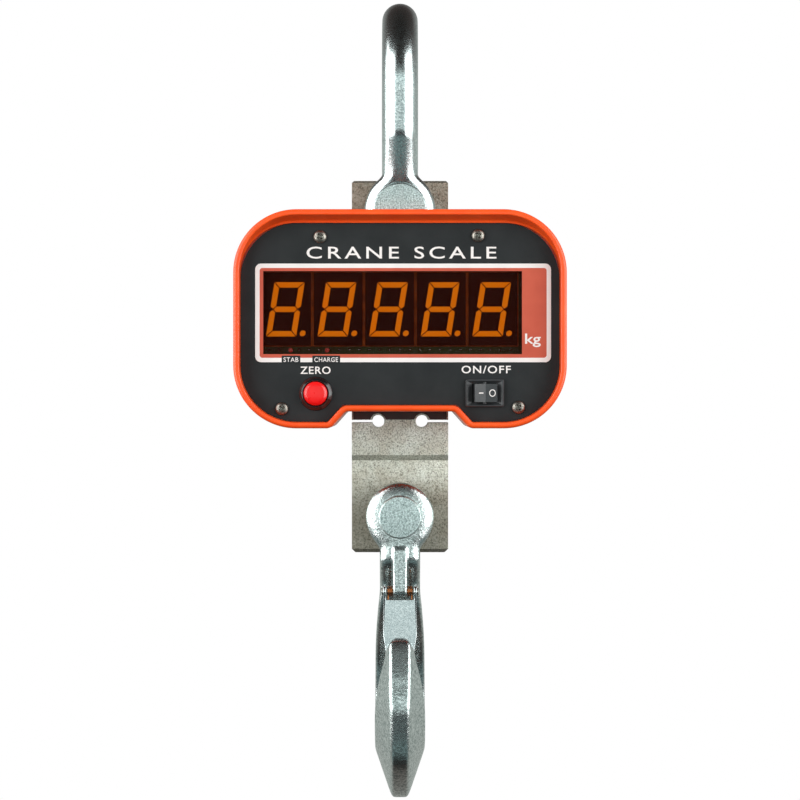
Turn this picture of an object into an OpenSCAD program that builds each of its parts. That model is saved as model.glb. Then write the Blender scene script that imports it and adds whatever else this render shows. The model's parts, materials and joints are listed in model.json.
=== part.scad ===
// Crane scale: a bow shackle, a load cell block that carries the display case, and a fork hook.
// Millimetres. +X is the reader's right, -Y is the display side and +Z is up. The origin is the
// point inside the shackle's crown that rests on a crane's own hook.

/* [Shackle] */
// Diameter of the bow's bar
bar_d = 20; // [18:0.5:21]
// Inside of the crown to the shackle pin
shackle_reach = 98.5; // [98:0.5:102]
// Inside radius of the crown
crown_r = 26; // [25:0.5:28]
// How far the legs lean in towards the ears, in degrees
leg_lean = 10; // [8:0.5:11]
// Gap between the ears
jaw = 31; // [30.4:0.2:32]
// Thickness of each shackle ear
shackle_ear_t = 15; // [13:0.5:15]
// Radius of each shackle ear
shackle_ear_r = 20; // [19:0.5:20]
// Diameter of the shackle pin
shackle_pin_d = 18; // [14:0.5:20]
// Diameter of the shackle pin's head
shackle_head_d = 30; // [26:0.5:32]

/* [Load cell] */
// Width of the block
cell_w = 54; // [52:0.5:54]
// Thickness of the block's ends
cell_t = 28; // [26:0.5:28.5]
// Thickness of the block's middle
cell_mid_t = 34; // [32:0.5:34]
// Shackle pin to hook pin
pin_spacing = 170.5; // [170:0.5:172]
// Block beyond the shackle pin
cell_top_end = 17.6; // [16:0.2:18]
// Block beyond the hook pin
cell_bottom_end = 20.4; // [19:0.2:20.4]
// Each pin to the step where the block thickens
step_from_pin = 32.8; // [32:0.2:34]
// Each pin to the relief holes
relief_from_pin = 53.2; // [53:0.1:54]
// Relief holes, from the middle of the block
relief_x = 12.3; // [11:0.1:13]
// Radius of the relief holes
relief_r = 3.5; // [3:0.1:3.8]
// Width of the relief slots
slot_w = 1.5; // [1:0.1:2]

/* [Case] */
// Half of the case's width
case_half = 91; // [90:0.5:92]
// Top of the case, below the origin
case_top_drop = 99.8; // [99.6:0.1:100.2]
// Height of the case
case_h = 119.6; // [119:0.2:120]
// Radius of the case's corners
case_r = 34.5; // [33:0.5:36]
// Front lip to the middle plane
front_depth = 60; // [60:0.5:62]
// Back to the middle plane
rear_depth = 50; // [50:0.5:52]
// Wall thickness
wall = 3.2; // [3:0.1:3.4]
// Rim around the panel at the sides and the bottom
rim = 3.5; // [3.4:0.1:4]
// Rim above the panel
rim_top = 7; // [6:0.5:8]
// Depth of the panel behind the lip
panel_recess = 8; // [7:0.5:8]
// Depth of the notch under the case
notch_h = 9.2; // [9:0.1:9.6]
// Half of the notch's width at its top
notch_half = 29.7; // [29.4:0.1:30]
// Half of the notch's width at the case's bottom edge
notch_foot = 38; // [37:0.5:40]

/* [Display and controls] */
// Distance between digit modules
digit_pitch = 28.3; // [28:0.1:28.3]
// Travel of the zero button
button_travel = 3; // [2:0.5:3]
// Rocker's turn to each side of its middle, in degrees
rocker_tilt = 8; // [6:0.5:8]

/* [Hook] */
// Radius of each fork ear
fork_ear_r = 19.2; // [18.5:0.1:19.2]
// Thickness of each fork ear
fork_ear_t = 11; // [10:0.5:11]
// Diameter of the hook pin
hook_pin_d = 16; // [12:0.5:18]
// Diameter of the hook pin's head
hook_head_d = 24; // [20:0.5:25]
// Radius inside the bowl
bowl_r = 21.5; // [21:0.1:22]
// Hook pin to the middle of the bowl
bowl_drop = 107; // [106.5:0.1:107]

/* [Hidden] */
$fn = 64;

fit = 0.05;                                  // radial running clearance of every pin
cut = 1;                                     // how far a cut passes the face that it starts from
bar_r = bar_d / 2;
bow_r = crown_r + bar_r;                     // the crown's own centre line
shackle_z = -shackle_reach;
hook_z = shackle_z - pin_spacing;
cell_top = shackle_z + cell_top_end;
cell_bottom = hook_z - cell_bottom_end;
step_top = shackle_z - step_from_pin;
step_bottom = hook_z + step_from_pin;
relief_top = shackle_z - relief_from_pin;
relief_bottom = hook_z + relief_from_pin;
mid_face = cell_mid_t / 2;
cover_t = 1.2;
cover_half = 26;
cover_screw_x = 21.5;
cover_screw_z = [relief_bottom + 14, relief_top - 14];
cable_z = (relief_top + relief_bottom) / 2;
pocket_half = 17;                            // the pockets whose floors are the gauged webs
pocket_deep = 4;
ear_in = jaw / 2;
ear_out = ear_in + shackle_ear_t;
fork_in = 15;
fork_out = fork_in + fork_ear_t;
head_t = 5.5;
washer_t = 2.5;
washer_play = 0.3;
split_pin_r = 1.5;
split_hole_r = 1.7;
split_gap = 2.4;                             // a washer's face to the middle of its split pin
pin_tail = 5.5;                              // a washer's face to the end of its pin
shackle_pin_end = ear_out + washer_t + pin_tail;
hook_pin_end = fork_out + washer_t + pin_tail;

case_top = -case_top_drop;
case_bottom = case_top - case_h;
notch_top = case_bottom + notch_h;
lip_y = -front_depth;
panel_y = lip_y + panel_recess;
panel_t = 2;
panel_back = panel_y + panel_t;
ledge_t = 2.5;
ledge_w = 8;
rear_y = rear_depth;
// The well in the case's top that the shackle's ears turn in
well_half = 29;
well_front = -39.5;
well_rear = 41.5;
well_floor = shackle_z - 23;
well_wall = 2.5;

// The clear window in the panel, and the digit modules behind it
window = [-74.9, 66.8, -178.8, -133.3];      // left, right, bottom, top
label = [-79.3, 82.7, -183.2, -129.2];
glass_gap = 0.1;
module_first = -76.4;
module_gap = 0.1;
module_z = [-174.5, -133.6];
module_y = [panel_back + 0.5, panel_back + 9.5];
board_t = 1.6;

button_at = [-46.2, -200.4];
button_cap_r = 6.5;
button_barrel_r = 8;
switch_at = [46.4, -200.1];
switch_bezel = [21, 15];
switch_hole = [13.9, 10.4];
rocker_pivot = panel_y - 0.4;
trunnion_r = 1;
trunnion_reach = 6;
panel_screw_at = [[-43.8, -114.5], [42.8, -113.9], [-64.7, -208.7], [64.9, -207.9]];
case_middle = case_top - case_h / 2;
corner_in = case_r - 18.4;                   // the case's edges to its corner screws, both ways
corner_x = case_half - corner_in;
housing_screw_at = [
    [-corner_x, case_top - corner_in], [corner_x, case_top - corner_in],
    [-corner_x, case_bottom + corner_in], [corner_x, case_bottom + corner_in],
    [-44, case_top - 8], [44, case_top - 8]
];
boss_r = 5.5;
pilot_r = 1.95;
bracket_z = (step_top + relief_top) / 2;
bracket_x = 35;
bracket_half = 40;
bracket_t = 3;
bracket_back = mid_face + bracket_t;
bracket_screw_x = 15;
block_play = 0.8;                            // the gap round the block where it passes the case
display_standoff_at = [[-70, -182.5], [63, -182.5], [-70, -129.5], [63, -129.5]];
main_board_x = [42, 82];
main_board_z = [-190, -130];
main_board_y = 22;
board_hole_in = 4;
board_hole_r = 1.3;
board_post_y = rear_y - wall - 4;            // the front of the rear shell's posts for the board
socket_at = [33, -160];
battery_x = [-82, -42];
battery_y = [4, 42];
clamp_t = 1.2;

latch_pivot = [-24, -310.5];                 // y and z of the latch's pin
latch_len = 36.5;
latch_half = 9.3;
latch_sheet = 1.5;
latch_pin_r = 1.6;

orange = "#FF5A1F";
zinc = "#B8C2C4";
nickel = "#A8A498";
charcoal = "#2B2E30";
steel = "#C9CBCD";
copper = "#B4693A";

// ---------------------------------------------------------------- building blocks

// A block between two corners
module block(x, y, z) {
    translate([x[0], y[0], z[0]]) cube([x[1] - x[0], y[1] - y[0], z[1] - z[0]]);
}

// A round bar along Y, at x and z
module rod_y(r, y, at = [0, 0]) {
    translate([at[0], y[1], at[1]]) rotate([90, 0, 0]) cylinder(r = r, h = y[1] - y[0]);
}

// A round bar along X, at y and z
module rod_x(r, x, at) {
    translate([x[0], at[0], at[1]]) rotate([0, 90, 0]) cylinder(r = r, h = x[1] - x[0]);
}

// A drawing in X and Z, drawn out along Y
module along_y(y) {
    translate([0, y[1], 0]) rotate([90, 0, 0]) linear_extrude(y[1] - y[0]) children();
}

// A drawing in Y and Z, drawn out along X
module along_x(x) {
    translate([x[0], 0, 0]) rotate([90, 0, 90]) linear_extrude(x[1] - x[0]) children();
}

// A ring of round wire around a Y axis
module wire_ring_y(r, wire, at) {
    translate(at) rotate([90, 0, 0]) rotate_extrude() translate([r, 0]) circle(wire, $fn = 16);
}

// A split pin through a hole along X: an eye at one end and two bent legs at the other
module split_pin(at_y, at_z, reach, wire) {
    rod_x(wire, [-reach, reach], [at_y, at_z], $fn = 24);
    translate([-reach - 2 * wire, at_y, at_z]) rotate([90, 0, 0])
        rotate_extrude($fn = 32) translate([1.6 * wire, 0]) circle(wire * 0.7, $fn = 12);
    for (turn = [20, 160])
        translate([reach - wire, at_y, at_z]) rotate([0, turn, 0])
            cylinder(r = wire * 0.7, h = 4.4 * wire, $fn = 16);
}

// Catmull-Rom value between b and c
function spline(a, b, c, d, t) =
    0.5 * (2 * b + (c - a) * t + (2 * a - 5 * b + 4 * c - d) * t * t
        + (3 * b - a - 3 * c + d) * t * t * t);

function station(list, i) = list[max(0, min(len(list) - 1, i))];

// A list of stations with extra ones between each pair
function refined(list, steps) = concat(
    [for (i = [0 : len(list) - 2], k = [0 : steps - 1])
        spline(station(list, i - 1), list[i], list[i + 1], station(list, i + 2), k / steps)],
    [list[len(list) - 1]]
);

// Faces of a closed loft of m rings of n points each
function loft_faces(m, n) = concat(
    [for (i = [0 : m - 2], j = [0 : n - 1])
        [i * n + j, i * n + (j + 1) % n, (i + 1) * n + (j + 1) % n, (i + 1) * n + j]],
    [[for (j = [n - 1 : -1 : 0]) j]],
    [[for (j = [0 : n - 1]) (m - 1) * n + j]]
);

function power(v, p) = (v < 0 ? -1 : 1) * pow(abs(v), p);

// Squareness of a section's corners: 1 is round and 0 is sharp
corner = 0.42;

// One section of the hook: a rounded wedge from its inner edge to its narrow outer edge.
// A station is [inner y, inner z, outer y, outer z, half-width inside, half-width outside].
function wedge_ring(s, n) = [
    for (j = [0 : n - 1])
        let (a = -360 * (j + 0.5) / n)
        let (u = 0.5 + 0.5 * power(cos(a), corner), w = s[4] + (s[5] - s[4]) * u)
            [w * power(sin(a), corner), s[0] + (s[2] - s[0]) * u, s[1] + (s[3] - s[1]) * u]
];

// A tube of radius r through points, with rings held square to the route
function unit(v) = v / norm(v);
function heading(p, i) = unit(p[min(len(p) - 1, i + 1)] - p[max(0, i - 1)]);
function tube_ring(p, i, r, n) =
    let (t = heading(p, i), side = unit(cross(t, [0.1, 0.2, 1])), up = cross(side, t))
        [for (j = [0 : n - 1]) p[i] + r * (cos(360 * j / n) * side + sin(360 * j / n) * up)];
module tube(route, r, steps = 4, n = 8) {
    path = refined(route, steps);
    points = [for (i = [0 : len(path) - 1]) each tube_ring(path, i, r, n)];
    polyhedron(points, loft_faces(len(path), n), convexity = 4);
}

// The case's outline, drawn in by inset; the top edge by its own amount
module case_outline(inset = 0, top_inset = -1) {
    drop = top_inset < 0 ? inset : top_inset;
    half = case_half - inset;
    top = case_top - drop;
    bottom = case_bottom + inset;
    r = case_r - inset;
    lean = (notch_foot - notch_half) / notch_h;
    stretch = sqrt(1 + lean * lean);
    difference() {
        union() {
            for (s = [-1, 1], z = [bottom + r, top - r])
                translate([s * (half - r), z]) circle(r, $fn = 96);
            translate([-half + r, bottom]) square([2 * (half - r), top - bottom]);
            translate([-half, bottom + r]) square([2 * half, top - bottom - 2 * r]);
        }
        polygon([
            for (s = [-1, 1]) let (shift = inset * (stretch - lean))
                [s * (notch_half + shift), notch_top + inset],
            for (s = [1, -1]) [s * (notch_foot + lean * cut + inset * stretch), case_bottom - cut]
        ]);
    }
}

// ---------------------------------------------------------------- shackle

module shackle_bow() color(zinc) {
    leg_top = [bow_r * cos(leg_lean), -crown_r - bow_r * sin(leg_lean)];
    leg_len = 48;
    difference() {
        union() {
            translate([0, 0, -crown_r]) rotate([0, 0, 90]) rotate([90, 0, 0])
                rotate([0, 0, -leg_lean]) rotate_extrude(angle = 180 + 2 * leg_lean)
                    translate([bow_r, 0]) circle(bar_r);
            for (s = [-1, 1]) {
                translate([0, s * leg_top[0], leg_top[1]]) rotate([180 - s * leg_lean, 0, 0])
                    translate([0, 0, -1.5]) cylinder(r = bar_r - 0.1, h = leg_len + 1.5);
                mirror([0, s < 0 ? 1 : 0, 0]) shackle_ear();
            }
        }
        rod_y(shackle_pin_d / 2 + fit, [-50, 50], [0, shackle_z]);
    }
}

// A flat round ear that flares out of the leg above it
module shackle_ear() {
    rod_y(shackle_ear_r, [ear_in, ear_out], [0, shackle_z]);
    along_y([ear_in + 1.2, ear_out]) polygon([
        for (s = [-1, 1]) [s * bar_r * 0.9, shackle_z + 28],
        for (s = [1, -1]) [s * shackle_ear_r * 0.8, shackle_z + 9]
    ]);
}

module shackle_pin() color(steel) difference() {
    union() {
        rod_y(shackle_head_d / 2, [-ear_out - head_t, -ear_out], [0, shackle_z]);
        rod_y(shackle_pin_d / 2, [-ear_out, shackle_pin_end], [0, shackle_z]);
    }
    rod_x(split_hole_r, [-12, 12], [ear_out + washer_t + split_gap, shackle_z], $fn = 24);
}

module shackle_washer() color(steel) difference() {
    rod_y(shackle_head_d / 2, [ear_out, ear_out + washer_t], [0, shackle_z]);
    rod_y(shackle_pin_d / 2 + washer_play, [ear_out - cut, ear_out + washer_t + cut], [0, shackle_z]);
}

module shackle_split_pin() color(steel)
    split_pin(ear_out + washer_t + split_gap, shackle_z, 11.5, split_pin_r);

// ---------------------------------------------------------------- load cell

module load_cell() color(nickel) difference() {
    half = cell_w / 2;
    thin = cell_t / 2;
    ramp = (mid_face - thin) / 2;
    top_edge = 1.2;
    low_edge = 2;
    intersection() {
        along_y([-mid_face, mid_face]) polygon([
            [-half + top_edge, cell_top], [half - top_edge, cell_top], [half, cell_top - top_edge],
            [half, cell_bottom + low_edge], [half - low_edge, cell_bottom],
            [-half + low_edge, cell_bottom], [-half, cell_bottom + low_edge],
            [-half, cell_top - top_edge]
        ]);
        along_x([-half - cut, half + cut]) for (s = [-1, 1]) scale([s, 1]) polygon([
            [-0.01, cell_bottom], [-0.01, cell_top],
            [thin - top_edge, cell_top], [thin, cell_top - top_edge],
            [thin, step_top + ramp], [mid_face, step_top - ramp],
            [mid_face, step_bottom + ramp], [thin, step_bottom - ramp],
            [thin, cell_bottom + low_edge], [thin - low_edge, cell_bottom]
        ]);
    }
    through = [-mid_face - 3, mid_face + 3];
    rod_y(shackle_pin_d / 2 + fit, through, [0, shackle_z]);
    rod_y(hook_pin_d / 2 + fit, through, [0, hook_z]);
    for (s = [-1, 1], z = [relief_top, relief_bottom]) {
        rod_y(relief_r, through, [s * relief_x, z]);
        block(s > 0 ? [relief_x, half + cut] : [-half - cut, -relief_x], through,
            [z - slot_w / 2, z + slot_w / 2]);
    }
    for (y = [[-mid_face - cut, -mid_face + pocket_deep], [mid_face - pocket_deep, mid_face + cut]])
        block([-pocket_half, pocket_half], y, [relief_bottom + 18, relief_top - 18]);
    for (s = [-1, 1]) {
        rod_y(2.5, [mid_face - 10, mid_face + cut], [s * bracket_screw_x, bracket_z]);
        for (y = [[-mid_face - cut, -mid_face + 6], [mid_face - 6, mid_face + cut]], z = cover_screw_z)
            rod_y(1.2, y, [s * cover_screw_x, z]);
    }
    rod_x(1.9, [12, half + cut], [0, cable_z], $fn = 24);
}

module gauge_cover(y) difference() {
    block([-cover_half, cover_half], y, [relief_bottom + slot_w / 2 + 0.2, relief_top - slot_w / 2 - 0.2]);
    for (s = [-1, 1], z = [relief_top, relief_bottom])
        rod_y(relief_r + 0.9, [y[0] - cut, y[1] + cut], [s * relief_x, z]);
    for (s = [-1, 1], z = cover_screw_z)
        rod_y(1.4, [y[0] - cut, y[1] + cut], [s * cover_screw_x, z]);
}

module gauge_cover_front() color("#3A1410") gauge_cover([-mid_face - cover_t, -mid_face]);
module gauge_cover_rear() color("#3A1410") gauge_cover([mid_face, mid_face + cover_t]);

module gauge_cover_screws() color(steel) for (s = [-1, 1], x = [-1, 1], z = cover_screw_z)
    mirror([0, s < 0 ? 1 : 0, 0]) {
        rod_y(2.4, [mid_face + cover_t, mid_face + cover_t + 1.6], [x * cover_screw_x, z]);
        rod_y(1.15, [mid_face - 5, mid_face + cover_t], [x * cover_screw_x, z]);
    }

// Foil gauges bonded to the webs at the bottom of the two pockets
module strain_gauges() color("#D9A441") for (s = [-1, 1], x = [-1, 1], z = [-1, 1])
    mirror([0, s < 0 ? 1 : 0, 0])
        translate([x * 7, mid_face - pocket_deep + 0.2, cable_z + z * 6]) cube([8, 0.4, 8], center = true);

module cell_bracket() color(steel) difference() {
    block([-bracket_half, bracket_half], [mid_face, bracket_back], [bracket_z - 6, bracket_z + 6]);
    for (s = [-1, 1]) {
        rod_y(2.75, [mid_face - cut, bracket_back + cut], [s * bracket_screw_x, bracket_z]);
        rod_y(2.2, [mid_face - cut, bracket_back + cut], [s * bracket_x, bracket_z]);
    }
}

module cell_bracket_screws() color(steel) for (s = [-1, 1]) {
    rod_y(4.2, [bracket_back, bracket_back + 3.5], [s * bracket_screw_x, bracket_z]);
    rod_y(2.45, [mid_face - 8, bracket_back], [s * bracket_screw_x, bracket_z]);
    rod_y(3.6, [mid_face - 2.6, mid_face], [s * bracket_x, bracket_z]);
    rod_y(1.9, [mid_face, mid_face + 14], [s * bracket_x, bracket_z]);
}

module cable_gland() color("#B08D4A") difference() {
    union() {
        rod_x(4.2, [cell_w / 2, cell_w / 2 + 3], [0, cable_z], $fn = 6);
        rod_x(3, [cell_w / 2 + 3, cell_w / 2 + 7], [0, cable_z]);
    }
    rod_x(1.85, [cell_w / 2 - cut, cell_w / 2 + 8], [0, cable_z], $fn = 24);
}

module load_cell_cable() color("#3C3F41")
    tube([
        [20, 0, cable_z], [28, 0, cable_z], [34.5, 0, cable_z], [37, 0.4, cable_z], [42, 4, -180],
        [47, 9, -172], [51, 13.5, -166], [52, 15.5, -165], [52, 16.9, -165]
    ], 1.7);

// ---------------------------------------------------------------- case

module well_walls(y) block([-well_half - well_wall, well_half + well_wall], y,
    [well_floor - well_wall, case_top - wall]);

// The space that the shackle's ears and the block's upper end stand in, and the block's way out
module well_and_ways(y_well, y_out) {
    block([-well_half, well_half], y_well, [well_floor, case_top + cut]);
    half_x = cell_w / 2 + block_play;
    upper_y = cell_t / 2 + block_play;
    lower_y = mid_face + cover_t + block_play;
    block([-half_x, half_x], [max(y_out[0], -upper_y), min(y_out[1], upper_y)],
        [well_floor - well_wall - cut, well_floor + cut]);
    block([-half_x, half_x], [max(y_out[0], -lower_y), min(y_out[1], lower_y)],
        [case_bottom, notch_top + wall + 2]);
}

// The height of the case's top or bottom wall, whichever a post stands nearer, drawn in by inset
function near_wall(at, inset) = at[1] > case_middle ? case_top - inset : case_bottom + inset;

// A round post with its rib to the nearest flat wall
module boss(at, r, y, rib_to) {
    rod_y(r, y, at);
    block([at[0] - 1, at[0] + 1], y, [min(at[1], rib_to), max(at[1], rib_to)]);
}

module front_housing() color(orange) difference() {
    union() {
        difference() {
            along_y([lip_y, 0]) case_outline();
            along_y([lip_y - cut, panel_back]) case_outline(rim, rim_top);
            along_y([panel_back - cut, cut]) case_outline(ledge_w, rim_top + 5);
            along_y([panel_back + ledge_t, cut]) case_outline(wall);
        }
        well_walls([well_front - well_wall, 0]);
        for (at = panel_screw_at)
            boss(at, 4, [panel_back, panel_back + 13], near_wall(at, 1));
        for (at = housing_screw_at) boss(at, boss_r, [-25, 0], near_wall(at, 6));
    }
    well_and_ways([well_front, cut], [-30, cut]);
    for (at = panel_screw_at) rod_y(1.55, [panel_back - cut, panel_back + 10], at, $fn = 24);
    translate([switch_at[0], panel_back + 1, switch_at[1]]) cube([20, 6, 14], center = true);
    for (at = housing_screw_at) rod_y(pilot_r, [-20, cut], at, $fn = 24);
}

module rear_housing() color(orange) difference() {
    union() {
        difference() {
            along_y([0, rear_y]) case_outline();
            along_y([-cut, rear_y - wall]) case_outline(wall);
        }
        well_walls([0, well_rear + well_wall]);
        for (at = housing_screw_at) boss(at, boss_r, [0, rear_y - cut], near_wall(at, 6));
        for (s = [-1, 1]) rod_y(4.5, [bracket_back, rear_y - cut], [s * bracket_x, bracket_z]);
        for (x = main_board_x, z = main_board_z)
            rod_y(3.2, [board_post_y, rear_y - cut], board_hole(x, z));
    }
    well_and_ways([-cut, well_rear], [-cut, 30]);
    along_y([-cut, 1.3]) seal_ring(0.9, 2.3);
    for (at = housing_screw_at) {
        rod_y(2.1, [-cut, rear_y + cut], at, $fn = 24);
        rod_y(3.9, [rear_y - 5, rear_y + cut], at);
    }
    for (s = [-1, 1])
        rod_y(pilot_r, [bracket_back - cut, bracket_back + 15], [s * bracket_x, bracket_z], $fn = 24);
    for (x = main_board_x, z = main_board_z)
        rod_y(board_hole_r, [board_post_y - cut, rear_y - 1.5], board_hole(x, z), $fn = 24);
    rod_x(5.6, [case_half - 10, case_half + cut], socket_at);
    rod_x(7.6, [case_half - 1.2, case_half + cut], socket_at);
}

function toward(v, low, high, d) = v == low ? low + d : high - d;
function board_hole(x, z) = [
    toward(x, main_board_x[0], main_board_x[1], board_hole_in),
    toward(z, main_board_z[0], main_board_z[1], board_hole_in)
];

module seal_ring(from, to) difference() {
    case_outline(from);
    case_outline(to);
    translate([-well_half - well_wall, case_top - 8]) square([2 * (well_half + well_wall), 20]);
    translate([-cell_w / 2 - 1, case_bottom]) square([cell_w + 2, 20]);
}

module housing_seal() color("#202224") along_y([0, 1.25]) seal_ring(0.95, 2.25);

module housing_screws() color(steel) for (at = housing_screw_at) {
    rod_y(3.6, [rear_y - 5, rear_y - 2.2], at);
    rod_y(1.9, [-18, rear_y - 5], at, $fn = 24);
}

// Rubber collars that close the gap between the case and the block
module collar(half_x, half_y, reach, z) difference() {
    block([-half_x - reach, half_x + reach], [-half_y - reach, half_y + reach], z);
    block([-half_x - 0.1, half_x + 0.1], [-half_y - 0.1, half_y + 0.1], [z[0] - cut, z[1] + cut]);
}

module top_gland() color("#26282A")
    collar(cell_w / 2, cell_t / 2, 1.7, [well_floor, well_floor + 1.6]);
module bottom_gland() color("#26282A")
    collar(cell_w / 2, mid_face + cover_t, 4, [notch_top + wall, notch_top + wall + 2.4]);

// ---------------------------------------------------------------- panel and display

module panel() color(charcoal) along_y([panel_y, panel_back]) difference() {
    case_outline(rim + 0.2, rim_top + 0.2);
    translate([window[0], window[2]]) square([window[1] - window[0], window[3] - window[2]]);
    for (at = panel_screw_at) translate(at) circle(1.7, $fn = 24);
    translate(button_at) circle(button_barrel_r + 0.1);
    translate(switch_at) square([19.4, 13.4], center = true);
}

module panel_label() color("#F2F2EE") along_y([panel_y - 0.25, panel_y]) difference() {
    translate([label[0], label[2]]) square([label[1] - label[0], label[3] - label[2]]);
    translate([window[0], window[2]]) square([window[1] - window[0], window[3] - window[2]]);
}

module panel_screws() color(steel) for (at = panel_screw_at) {
    rod_y(3.65, [panel_y - 2.2, panel_y], at);
    rod_y(1.5, [panel_y, panel_back + 9], at, $fn = 24);
}

module filter_window() color("#3A0A04")
    block([window[0] + glass_gap, window[1] - glass_gap], [panel_y + glass_gap, panel_back - glass_gap],
        [window[2] + glass_gap, window[3] - glass_gap]);

module digit_module(i) color("#5A2A10")
    translate([module_first + i * digit_pitch, 0, 0])
        block([module_gap, digit_pitch - module_gap], module_y, module_z);

module digit_1() digit_module(0);
module digit_2() digit_module(1);
module digit_3() digit_module(2);
module digit_4() digit_module(3);
module digit_5() digit_module(4);

module display_board() color("#1E6B3A") difference() {
    block([-76, 69], [module_y[1], module_y[1] + board_t], [-186, -126]);
    for (at = display_standoff_at)
        rod_y(board_hole_r, [module_y[1] - cut, module_y[1] + board_t + cut], at, $fn = 24);
}

module display_standoffs() color("#B9A26A") for (at = display_standoff_at) {
    rod_y(2.6, [panel_back, module_y[1]], at, $fn = 24);
    rod_y(1.2, [module_y[1], module_y[1] + board_t], at, $fn = 24);
    rod_y(2.4, [module_y[1] + board_t, module_y[1] + board_t + 1.6], at, $fn = 24);
}

module indicator_leds() color("#E03020") for (x = [-60, -40])
    rod_y(1.2, [panel_back + 0.6, module_y[1]], [x, -176.6], $fn = 24);

module main_board() color("#1E6B3A") {
    difference() {
        block(main_board_x, [main_board_y, main_board_y + board_t], main_board_z);
        for (x = main_board_x, z = main_board_z)
            rod_y(board_hole_r, [main_board_y - cut, main_board_y + board_t + cut],
                board_hole(x, z), $fn = 24);
    }
    block([62, 76], [main_board_y - 2.6, main_board_y], [-160, -146]);
    block([50, 58], [main_board_y - 6, main_board_y], [-184, -178]);
    block([48, 56], [main_board_y - 5, main_board_y], [-168, -162]);
}

module board_standoffs() color("#B9A26A")
    for (x = main_board_x, z = main_board_z)
        difference() {
            rod_y(2.8, [main_board_y + board_t, board_post_y], board_hole(x, z), $fn = 24);
            rod_y(board_hole_r, [main_board_y, rear_y], board_hole(x, z), $fn = 24);
        }

module board_screws() color(steel)
    for (x = main_board_x, z = main_board_z) {
        rod_y(2.4, [main_board_y - 1.7, main_board_y], board_hole(x, z), $fn = 24);
        rod_y(1.2, [main_board_y, rear_y - 3], board_hole(x, z), $fn = 24);
    }

// A flat ribbon from the display board's back to the main board's front
module display_ribbon() color("#8A8D90")
    block([60, 61], [module_y[1] + board_t, main_board_y], [-145, -132]);

module battery() color("#2F6FB2") block(battery_x, battery_y, [-195, -125]);

module battery_clamp() color(steel) difference() {
    strap_z = [-166, -154];
    front = battery_y[0] - 0.1;
    block([battery_x[0] - clamp_t, battery_x[1] + clamp_t], [front - clamp_t, rear_y - wall], strap_z);
    block(battery_x, [front, rear_y - wall + cut], [strap_z[0] - cut, strap_z[1] + cut]);
}

module battery_lead() color("#B0302A")
    tube([
        [-41.9, 34, -172], [-38, 34, -172], [-30, 34, -173], [-12, 33, -177], [10, 33, -178],
        [34, 33, -176], [47, 33, -171], [51.5, 29.5, -168.4], [52, 26, -168], [52, 23.7, -168]
    ], 1.5);

module charge_socket() color("#1C1D1F") difference() {
    union() {
        rod_x(7.4, [case_half - 1.2, case_half], socket_at);
        rod_x(5.5, [case_half - 14, case_half - 1.2], socket_at);
    }
    rod_x(3.1, [case_half - 10, case_half + cut], socket_at);
}

// ---------------------------------------------------------------- controls

module button_body() color("#7A1512") difference() {
    union() {
        rod_y(9.4, [panel_y - 2.6, panel_y], button_at);
        rod_y(button_barrel_r, [panel_y, panel_y + 18], button_at);
    }
    rod_y(button_cap_r + 0.1, [panel_y - 4, panel_y + 14], button_at);
}

module button_nut() color(steel) difference() {
    rod_y(11, [panel_back, panel_back + 2.5], button_at, $fn = 6);
    rod_y(button_barrel_r + fit, [panel_back - cut, panel_back + 4], button_at);
}

module button_cap() color("#FF2A2A") {
    rod_y(button_cap_r - 0.8, [panel_y - 6.5, panel_y - 6], button_at);
    rod_y(button_cap_r, [panel_y - 6, panel_y + 6], button_at);
}

module button_spring() color(steel) for (i = [0 : 4])
    wire_ring_y(4.4, 0.35, [button_at[0], panel_y + 6.6 + i * 1.6, button_at[1]]);

module switch_body() color("#3A3D40") difference() {
    union() {
        translate([switch_at[0], panel_y - 1, switch_at[1]])
            cube([switch_bezel[0], 2, switch_bezel[1]], center = true);
        translate([switch_at[0], panel_y + 7.5, switch_at[1]])
            cube([19, 15, 13], center = true);
    }
    translate([switch_at[0], panel_y + 2, switch_at[1]])
        cube([switch_hole[0], 12, switch_hole[1]], center = true);
    translate([switch_at[0], rocker_pivot, switch_at[1]])
        cylinder(r = trunnion_r + fit, h = 2 * trunnion_reach + 0.2, center = true, $fn = 32);
}

// The rocker's outline in X and Y, around its pivot: two shallow faces that meet in a valley. It
// turns on two short round pins.
module switch_rocker() color("#4A4D50") translate([switch_at[0], rocker_pivot, switch_at[1]]) {
    rotate([0, 0, rocker_tilt]) linear_extrude(10, center = true) polygon([
        [-6.2, -4.4], [0, -3.3], [6.2, -4.4], [6.2, -0.6], [2.4, 3.4], [-2.4, 3.4], [-6.2, -0.6]
    ]);
    cylinder(r = trunnion_r, h = 2 * trunnion_reach, center = true, $fn = 32);
}

// ---------------------------------------------------------------- hook

bowl_z = hook_z - bowl_drop;
bowl_side = bowl_r * cos(45);

// Stations down the back, round the bowl and up to the tip
HOOK = [
    [-12, -300, 13, -300, 9.6, 9.6],
    [-12.5, -311, 16, -311, 10.4, 10.2],
    [-8, -322, 23, -320, 13.4, 10.8],
    [1, -334, 31, -331, 14.9, 9.2],
    [11, -346, 39, -343.5, 15.8, 7.2],
    [18, -359, 45, -357, 16.2, 6],
    [bowl_r, bowl_z, 48.3, bowl_z, 16.5, 5.5],
    [bowl_side, bowl_z - bowl_side, 35.7, -411.7, 16.5, 5],
    [0, bowl_z - bowl_r, -1, -428.6, 16.3, 4.6],
    [-bowl_side, bowl_z - bowl_side, -33, -409, 16.4, 4.8],
    [-bowl_r - 0.3, bowl_z, -42, -380, 16.2, 5],
    [-25.6, -362, -42.2, -360, 13.6, 5.2],
    [-27.9, -350, -40, -346, 9.2, 5.4],
    [-28.6, -341, -37, -339, 7.2, 5.2],
    [-31, -336.9, -34, -336.5, 3, 2.6]
];
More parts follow.
